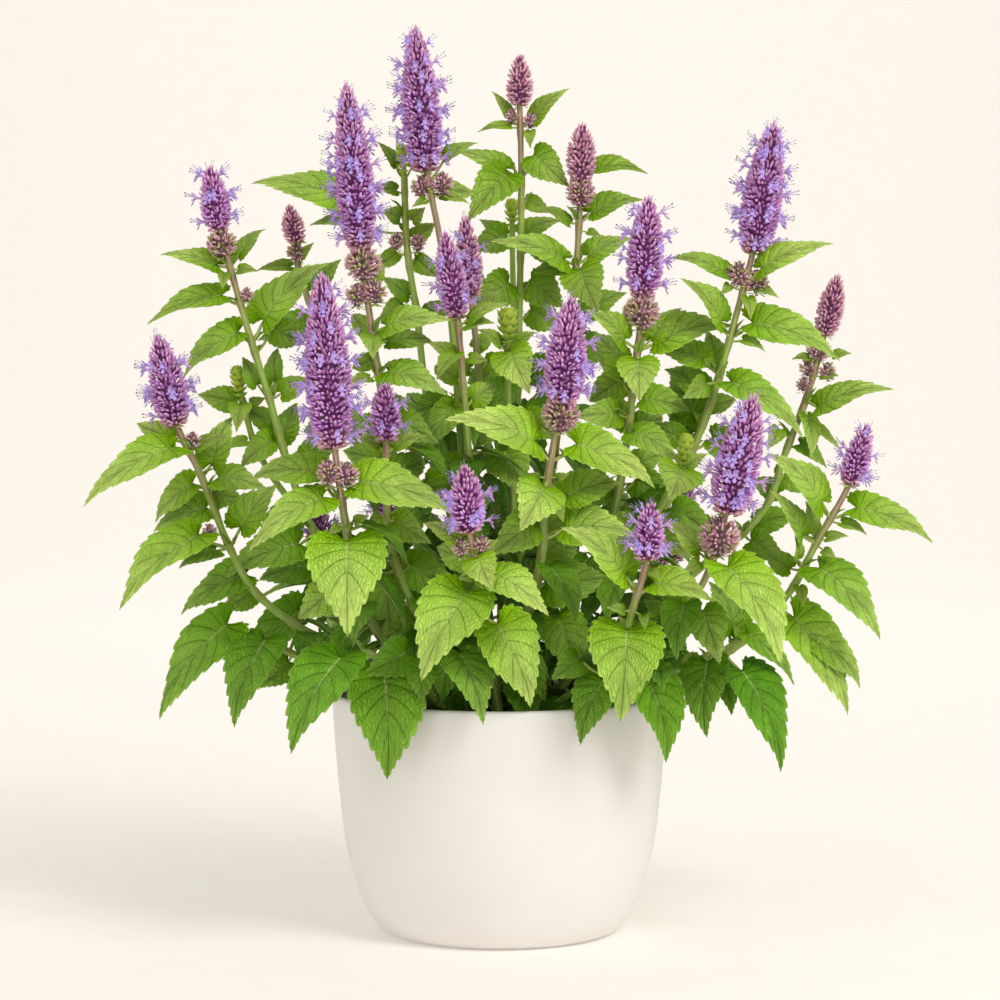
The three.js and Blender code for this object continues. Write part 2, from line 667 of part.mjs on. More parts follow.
// Triangles between a leaf's rib and its edge, which meet at the tip, wound for the upper face on the left
function strip(rib, edge, points, base, ahead) {
  const along = (index) => points[index].clone().sub(base).dot(ahead);
  const faces = [];
  let i = 0;
  let j = 0;
  while (i < rib.length - 1 || j < edge.length - 1) {
    const ribNext = i < rib.length - 1 && (j === edge.length - 1 || along(rib[i + 1]) < along(edge[j + 1]));
    if (ribNext && !(i === rib.length - 2 && j < edge.length - 1)) {
      if (rib[i + 1] !== edge[j]) {
        faces.push([rib[i], rib[i + 1], edge[j]]);
      }
      i++;
    } else {
      if (edge[j + 1] !== rib[i]) {
        faces.push([rib[i], edge[j + 1], edge[j]]);
      }
      j++;
    }
    if (rib[i] === edge[j]) {
      break;
    }
  }
  return faces;
}

function teethFor(width) {
  return TEETH_BY_WIDTH.find(([least]) => width >= least)[1];
}

// The depth of a leaf's tip from its joint: a blade seen shorter than it is leans to the front, and
// of a pair seen from the side one leans to the front and the other to the back
function leafDepth([joint, baseX, , tipX, , seenWidth], seenLength) {
  const full = LEAF_ASPECT * seenWidth;
  if (seenLength < full) {
    return -Math.sqrt(full * full - seenLength * seenLength);
  }
  return Math.sign(tipX - baseX) * PAIR_LEAN * seenLength * Math.sin(joint);
}

// A leaf from its row in the table, moved in depth by `shift` and shrunk to `size`
function seenLeaf(row, joint, shift, baseShare, size) {
  const [, baseX, baseZ, tipX, tipZ, seenWidth] = row;
  const seenLength = Math.hypot(tipX - baseX, tipZ - baseZ);
  const lean = row[6] ?? leafDepth(row, seenLength);
  const base = sight(baseX, baseZ, joint.y + (lean * PETIOLE_LEAN + shift * baseShare));
  const tip = sight(tipX, tipZ, joint.y + (lean + shift)).lerp(base, 1 - size);
  const ahead = tip.clone().sub(base).normalize();
  const full = Math.min(seenLength / LEAF_ASPECT, seenWidth * LEAF_ASPECT);
  const width = Math.max(full, seenWidth) * size;
  const toEye = new THREE.Vector3(0, -1, 0).addScaledVector(ahead, ahead.y).normalize();
  const upward = new THREE.Vector3().crossVectors(ahead, toEye);
  if (upward.z < 0) {
    upward.negate();
  }
  const roll = Math.acos(Math.min(1, (seenWidth * size) / width));
  const normal = toEye.multiplyScalar(Math.cos(roll)).addScaledVector(upward, Math.sin(roll));
  return { joint, base, tip, width, normal, teeth: teethFor(seenWidth) };
}

// A leaf on a back stem, pointing outward at `heading`, drooping, and lifted by `shift`
function backLeaf(joint, heading, length, shift, size) {
  const [reach, reachShare, rise] = BACK_PETIOLE;
  const out = outward(heading);
  const base = joint.clone().addScaledVector(out, reach + length * reachShare).addScaledVector(UP, rise);
  const ahead = out.clone().addScaledVector(UP, BACK_LEAF_DROOP + shift / BACK_LEAF_LIFT).normalize();
  const tip = base.clone().addScaledVector(ahead, length * size);
  const normal = UP.clone().addScaledVector(ahead, -ahead.z).normalize();
  return { joint, base, tip, width: (length * size) / LEAF_ASPECT, normal, teeth: teethFor(0) };
}

const placed = [];

function boxesMeet(a, b) {
  return [0, 1, 2].every((i) => a.min[i] < b.max[i] && b.min[i] < a.max[i]);
}

// Whether a grown solid is clear of what stands already. What has its own owner only meets it as a blade.
function isClear(grown, owner, blade) {
  const box = grown.boundingBox();
  const bladeBox = blade ? blade.boundingBox() : null;
  for (const other of placed) {
    const own = other.owner === owner;
    if (own && !blade) {
      continue;
    }
    const mine = own ? blade : grown;
    const theirs = own ? other.blade : other.solid;
    if (theirs && boxesMeet(own ? bladeBox : box, other.box) && mine.intersect(theirs).volume() > 0) {
      return false;
    }
  }
  return true;
}

function keep(owner, solid, blade) {
  placed.push({ owner, solid, blade, box: solid.boundingBox() });
}

function potGeometry() {
  const rim = POT_WALL / 2;
  const [topRadius] = POT_OUTSIDE[POT_OUTSIDE.length - 1];
  const profile = [[0, 0], [POT_FOOT_RADIUS, 0], ...POT_OUTSIDE];
  for (const angle of [45, 90, 135]) {
    const turn = THREE.MathUtils.degToRad(angle);
    profile.push([topRadius - rim + rim * Math.cos(turn), POT_HEIGHT - rim + rim * Math.sin(turn)]);
  }
  const [, floor] = POT_INSIDE[POT_INSIDE.length - 1];
  profile.push(...POT_INSIDE, [0, floor]);
  return turned(profile, POT_SIDES);
}

// A body turned about the Z axis from a profile of [radius, height]
function turned(profile, sides) {
  const outline = profile.map(([radius, height]) => new THREE.Vector2(radius, height));
  return new THREE.LatheGeometry(outline, sides).rotateX(Math.PI / 2);
}

// The inner radius of the pot at a height
function potInside(height) {
  const below = POT_INSIDE.findIndex(([, level]) => level < height);
  const [radiusA, heightA] = POT_INSIDE[below];
  const [radiusB, heightB] = POT_INSIDE[below - 1];
  const share = (height - heightA) / (heightB - heightA);
  return (radiusA + (radiusB - radiusA) * share) * Math.cos(Math.PI / POT_SIDES);
}

function soilSolid(feet) {
  const bottom = SOIL_TOP - SOIL_DEPTH;
  const profile = [
    [0, bottom], [potInside(bottom) - GAP, bottom], [potInside(SOIL_TOP) - GAP, SOIL_TOP - 1], [0, SOIL_TOP],
  ];
  let soil = solidOf(turned(profile, SOIL_SIDES));
  for (const [x, y] of feet) {
    const radius = STEM_FOOT_RADIUS + HOLE_CLEARANCE;
    const corners = (height) => ring(new THREE.Vector3(x, y, height), UP, radius, 4);
    soil = soil.subtract(solidOf(loft([corners(SOIL_TOP - HOLE_DEPTH), corners(SOIL_TOP + HOLE_DEPTH)])));
  }
  return soil;
}

// The stems behind, in the same form as the table, with true points for a course
function backStems() {
  return Array.from({ length: BACK_COUNT }, (_, i) => {
    const share = i / (BACK_COUNT - 1);
    const heading = THREE.MathUtils.degToRad(between([BACK_FROM_DEGREES, BACK_TO_DEGREES], share));
    const reach = between(BACK_REACH, i % 2) * (1 - BACK_UNEVENNESS + 2 * BACK_UNEVENNESS * random());
    const height = between(BACK_HEIGHT, random());
    const spikeLength = between(BACK_SPIKE_LENGTH, random());
    const out = outward(heading);
    const foot = [BACK_FOOT_RADIUS * out.x, BACK_FOOT_RADIUS * out.y];
    return { name: String(STEMS.length + 1 + i).padStart(2, "0"), foot, heading, reach, height, spikeLength };
  });
}

function backPath(stem, bow) {
  const out = outward(stem.heading);
  const sideways = new THREE.Vector3(-out.y, out.x, 0);
  const course = BACK_COURSE.map(([reachShare, heightShare, bowShare]) => {
    const height = between([SOIL_TOP, stem.height], heightShare);
    const point = out.clone().multiplyScalar(between([BACK_FOOT_RADIUS, stem.reach], reachShare));
    return point.addScaledVector(sideways, bow * bowShare).setZ(height);
  });
  return pathOf([...footPoints(stem), ...course]);
}

// The lattice of a head: florets around it and rows up it, from its size
function latticeFor(length, radius) {
  const [, around, spacing] = radius >= WIDE_HEAD[0] ? WIDE_HEAD : SLIM_HEAD;
  return [around, Math.max(LEAST_ROWS, Math.round(length / spacing))];
}

function spike(base, tip, radius, extra) {
  return head(base, tip, radius, ...latticeFor(base.distanceTo(tip), radius), SPIKE_BLUNTNESS, extra);
}

function spikeSolid(stem, extra) {
  const [baseX, baseZ, tipX, tipZ, radius] = stem.spike;
  return spike(sight(baseX, baseZ, stem.depth), sight(tipX, tipZ, stem.depth), radius, extra);
}

// The spike of a back stem, which goes on the way that the stem ends
function backSpikeSolid(stem, path, extra) {
  const ahead = path.getTangentAt(1);
  const end = path.getPointAt(1);
  const base = end.clone().addScaledVector(ahead, -stem.spikeLength * HEAD_ROOT);
  const tip = end.clone().addScaledVector(ahead, stem.spikeLength);
  const lattice = latticeFor(stem.spikeLength, BACK_SPIKE_RADIUS);
  return head(base, tip, BACK_SPIKE_RADIUS, ...lattice, SPIKE_BLUNTNESS, extra);
}

// A smaller head on the stalk or in the joint of a leaf
function clusterSolid([x, z, radius], path, extra) {
  const centre = sight(x, z, path.getPointAt(shareAt(path, z)).y);
  const rise = UP.clone().multiplyScalar(radius);
  const around = radius >= WIDE_CLUSTER ? WIDE_HEAD[1] : SLIM_HEAD[1];
  return head(centre.clone().sub(rise), centre.clone().add(rise), radius, around, LEAST_ROWS, 1, extra);
}

function budSolid(stem, extra) {
  const [baseX, baseZ, tipX, tipZ, radius] = stem.bud;
  const base = sight(baseX, baseZ - BUD_ROOT, stem.depth);
  return head(base, sight(tipX, tipZ, stem.depth), radius, ...BUD_LATTICE, SPIKE_BLUNTNESS, extra);
}

// The share of a stem's path above which it is the flower stalk
function splitOf(stem, path) {
  if (!stem.course) {
    return BACK_SPLIT;
  }
  return stem.split ? shareAt(path, stem.split) : 1;
}

// The green and the mauve solids of a stem, without leaves
function stemSolids({ stem, path, splitShare }, extra) {
  const green = [stalk(path, 0, splitShare, extra)];
  const mauve = splitShare < 1 ? [stalk(path, splitShare + GAP / path.getLength(), 1, extra)] : [];
  if (stem.bud) {
    green.push(budSolid(stem, extra));
  }
  if (stem.spike) {
    mauve.push(spikeSolid(stem, extra));
  }
  for (const cluster of stem.heads ?? []) {
    (cluster[1] > stem.split ? mauve : green).push(clusterSolid(cluster, path, extra));
  }
  if (!stem.course) {
    mauve.push(backSpikeSolid(stem, path, extra));
  }
  return { green, mauve };
}

// A stem at the first of its bows that is clear of the others
function settleStem(stem) {
  for (const bow of STEM_BOWS) {
    const path = stem.course ? stemPath(stem, bow) : backPath(stem, bow);
    const raised = { stem, path, splitShare: splitOf(stem, path) };
    const { green, mauve } = stemSolids(raised, GAP);
    if (isClear(wasm.Manifold.union([...green, ...mauve]), null, null)) {
      return raised;
    }
  }
  throw new Error(`stem ${stem.name} finds no clear place`);
}

// The leaves of a back stem in crosswise pairs, each with the list of ways it may be set
function backLeafChoices({ stem, path }) {
  return BACK_JOINTS.flatMap((share, pair) => [0, 1].map((opposite) => {
    const joint = path.getPointAt(share);
    const heading = stem.heading + Math.PI / 4 + (pair % 2) * (Math.PI / 2) + opposite * Math.PI;
    const length = between(BACK_LEAF_LENGTH, share);
    const options = LEAF_SIZES.flatMap((size) => LEAF_SHIFTS.map(
      (shift) => backLeaf(joint, heading, length, shift, size),
    ));
    return { rank: length / LEAF_ASPECT, mauve: false, options };
  }));
}

// The leaves of a stem in the table, each with the list of ways it may be set
function seenLeafChoices({ stem, path, splitShare }) {
  return stem.leaves.map((row) => {
    const share = shareAt(path, row[0]);
    const joint = path.getPointAt(share);
    const options = LEAF_SIZES.flatMap((size) => BASE_SHARES.flatMap((baseShare) => LEAF_SHIFTS.map(
      (shift) => seenLeaf(row, joint, shift, baseShare, size),
    )));
    return { rank: row[5], mauve: share > splitShare, options };
  });
}

function colourful(colour, roughness) {
  return new THREE.MeshStandardMaterial({ color: colour, roughness, metalness: 0 });
}

function meshOf(name, geometry, material) {
  const mesh = new THREE.Mesh(geometry, material);
  mesh.name = name;
  return mesh;
}

const group = new THREE.Group();
const allStems = [...STEMS, ...backStems()];
const pot = potGeometry();
group.add(meshOf("pot", pot, colourful("#f2efea", 0.55)));
keep("pot", solidOf(pot), null);
const soil = soilSolid(allStems.map((stem) => stem.foot));
group.add(meshOf("soil", geometryFrom(soil), colourful("#2b2019", 1)));
keep("soil", soil, null);

const raisedStems = allStems.map((stem) => {
  const raised = settleStem(stem);
  const { green, mauve } = stemSolids(raised, 0);
  keep(`stem_${stem.name}`, fuse(green), fuse(green));
  if (mauve.length > 0) {
    keep(`spike_${stem.name}`, fuse(mauve), fuse(mauve));
  }
  return { ...raised, green, mauve };
});

// The widest leaves are set first, so that the small ones find their way between them. One that finds
// no clear place is left out.
const waiting = raisedStems.flatMap((raised) => {
  const choices = raised.stem.course ? seenLeafChoices(raised) : backLeafChoices(raised);
  return choices.map((choice) => ({ raised, ...choice }));
});
waiting.sort((a, b) => b.rank - a.rank);
for (const { raised, mauve, options } of waiting) {
  const owner = `${mauve ? "spike" : "stem"}_${raised.stem.name}`;
  const chosen = options.find((leaf) => isClear(leafSolid(leaf, GAP), owner, leafSolid(leaf, GAP, false)));
  if (chosen) {
    const solid = leafSolid(chosen);
    raised[mauve ? "mauve" : "green"].push(solid);
    keep(owner, solid, leafSolid(chosen, 0, false));
  }
}

for (const { stem, green, mauve } of raisedStems) {
  group.add(meshOf(`stem_${stem.name}`, geometryFrom(fuse(green)), colourful("#6fa32e", 0.7)));
  if (mauve.length > 0) {
    group.add(meshOf(`spike_${stem.name}`, geometryFrom(fuse(mauve)), colourful("#9a5fc0", 0.8)));
  }
}

export default group;
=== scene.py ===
import math

import bpy
import numpy as np
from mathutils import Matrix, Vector


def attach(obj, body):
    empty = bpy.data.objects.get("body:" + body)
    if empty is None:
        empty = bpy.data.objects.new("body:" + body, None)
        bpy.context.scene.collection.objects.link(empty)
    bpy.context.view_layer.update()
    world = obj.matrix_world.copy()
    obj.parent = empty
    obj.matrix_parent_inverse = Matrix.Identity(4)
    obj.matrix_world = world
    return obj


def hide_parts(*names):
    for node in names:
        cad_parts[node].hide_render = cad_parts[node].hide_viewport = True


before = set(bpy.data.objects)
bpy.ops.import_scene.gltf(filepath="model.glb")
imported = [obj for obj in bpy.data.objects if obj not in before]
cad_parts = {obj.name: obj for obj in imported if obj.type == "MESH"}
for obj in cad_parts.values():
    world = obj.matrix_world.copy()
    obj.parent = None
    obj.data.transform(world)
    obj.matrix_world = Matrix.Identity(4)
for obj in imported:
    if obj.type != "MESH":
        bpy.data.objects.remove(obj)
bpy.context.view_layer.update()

MM = 0.001
UP = np.array([0, 0, 1.0])
SHARP_ANGLE = math.radians(75)  # folds sharper than this, such as a leaf's edge, stay crisp
SEED = 4271

# The eye in front of the plant, which its places across and up were read with
EYE_DISTANCE = 2000
EYE_HEIGHT = 390
CAMERA_LENS = 109.1
CAMERA_TILT = 87

# The pot and its soil
POT_HEIGHT = 158
POT_WALL = 5
POT_FOOT_RADIUS = 72
POT_OUTSIDE = [(79, 2.6), (87, 12), (95, 30), (101.5, 54), (106.6, 94), (109.6, 130), (111, 153)]
POT_INSIDE = [(106, 153), (96.5, 54), (84, 14), (74, 8)]
POT_SIDES = 96
SOIL_TOP = 146
SOIL_DEPTH = 60
SOIL_RADIUS = 105
SOIL_FOOT_RADIUS = 86
SOIL_RINGS = 25
SOIL_ROUGHNESS = 0.7
SOIL_HEAP = 1.6
CRUMBS = 420
CRUMB_SIDES = 6

# Stems
HOLE_DEPTH = 12
STEM_FOOT_RADIUS = 3.1
STEM_TOP_RADIUS = 1.9
HEAD_ROOT = 0.25  # how far a stalk runs up into its head, as a share of the head
STEM_STEP = 4.5
STEM_SIDES = 12
JOINT_SWELL = 0.3
JOINT_REACH = 4.0  # mm that a joint's swelling reaches along the stem
BROWNING = (0.16, 0.14)  # how far under its split a stem starts to turn brown, and over what share
LINE_POINTS = 160
CURVE_POINTS = 400

# Leaves
LEAF_ASPECT = 1.45  # length over width of a blade seen square on
LEAF_ARCH = 0.1
FOLD = (0.05, 0.3)  # how steeply the two halves of a blade rise from its rib
TIP_CURL = (0.0, 0.1)
QUILT_DEPTH = 0.02
WAVE_DEPTH = 0.022
RIB_DEPTH = 0.35
PAIR_LEAN = 0.5
LEAF_THICKNESS = 0.42
PETIOLE_RADIUS = 1.05
YOUNG_WIDTH = 13  # leaves narrower than this are young and bright
YOUNG_LIFT = 0.25
OLD_BRIGHT = 0.18  # how bright the lowest leaf of a stem is
# how much brighter the top leaf of a stem is: partly its age, partly painted light
TOP_LIFT = 0.76
# painted light that a leaf gains towards the front
FRONT_PAINTED_LIGHT = 0.0014  # for each mm that a leaf is in front of the pot's axis
BRIGHT_SPREAD = 0.08
SHOOT_LENGTH = (7, 12)
SHOOT_SHARE = 0.7
SHOOT_LEAST_WIDTH = 11
# Half of a blade's outline, knot by knot: along the leaf, across it, and the place on the rib that the
# side vein to that knot starts from. Along and on the rib are shares of the length, and across is one of
# the half width.
BLADE = [
    (0.0, 0.03, 0.0), (-0.06, 0.2, 0.003), (-0.11, 0.43, 0.007), (-0.1, 0.68, 0.013), (-0.025, 0.89, 0.025),
    (0.1, 0.99, 0.05), (0.26, 0.97, 0.1), (0.41, 0.84, 0.17), (0.56, 0.63, 0.27), (0.71, 0.4, 0.4),
    (0.84, 0.2, 0.55), (0.93, 0.09, 0.72), (1.0, 0.0, 1.0),
]
# Fineness of a blade by its width in mm: least width, teeth, rows for each tooth, columns out from the rib
FINENESS = [
    (27, 13, 4, (0, 0.06, 0.2, 0.4, 0.62, 0.84, 1)),
    (17, 11, 3, (0, 0.08, 0.34, 0.7, 1)),
    (9, 8, 2, (0, 0.12, 0.56, 1)),
    (0, 5, 2, (0, 0.5, 1)),
]
TEETH_FROM = 0.08
TEETH_TO = 0.95
TOOTH_DEPTH = 0.029
VEINS = 9

# Leaves inside the plant, which no eye can tell one by one: they stand by a rule
INNER_COUNT = 185
INNER_TRIES = 18000
INNER_SHARES = (0.08, 0.68)
INNER_LENGTH = (30, 46)
INNER_FINE = 0.4  # how fine they are beside the others of their width
INNER_ROOM = 6.0  # mm from the other leaves
INNER_MIDDLE = (4, 172)
INNER_HALF = (140, 190)
INNER_DEPTHS = (-115, 165)
INNER_DROP = (0.3, 2.0)
INNER_STEM_ROOM = 4.0
SOIL_REACH = 92  # mm from the axis within which an inner leaf may hang below the rim

# Flowers
FLORET_ROWS = 3.1  # mm from one ring of calyces to the next
FLORET_WIDTH = 2.35
CALYX_LENGTH = 6.0
SPIKE_RISE = (0.25, 1.4)  # how steeply the lowest and the highest calyx of a spike point up, in radians
CLUSTER_RISE = (-0.6, 1.2)
BLOOM_STEP = 5  # rings of calyces from one ring of open flowers to the next
SEAM_DEPTH = 0.3  # the calyces stand apart along a seam up the front of a head
SEAM_WIDTH = 0.012
CALYX_SIDES = 5
SHUT_SHARE = 0.65
OLD_SHARE = 0.14  # the share of a spike's height above which its calyces have their full colour
FLANK = 0.965  # the cosine of the turn from a head's side within which its flowers stand open
OPEN_LUCK = 0.22  # the share of the other flowers in their ring that are open as well
OPEN_BLOOM = 0.3  # heads with less bloom have hardly any open flowers
OPEN_BACK = 1.8  # mm that an open flower starts behind its calyx's mouth
THREAD_BACK = 5.0
CLUSTER = {"blunt": 1, "bloom": 0.0, "mauve": 0.76, "age": 0.4}  # the small heads on a stalk
BUD_RING = 7
BUD_ROWS = 3.2
SKIRT_REACH = 7.5

# The ways that a leaf or a stem of the frame may have been set: its depths along the line of sight, how
# much of that its base takes, its sizes, and how far a stem bows
LEAF_SHIFTS = [0, -6, 6, -12, 12, -18, 18, -25, 25, -33, 33, -42, 42, -52, 52]
BASE_SHARES = [0.35, 1]
LEAF_SIZES = [1, 0.88, 0.76]
STEM_BOWS = [0, -5, 5, -10, 10, -16, 16, -22, 22, -30, 30]
MATCH = 2.4  # mm from where a leaf's tip is expected to where the frame has it

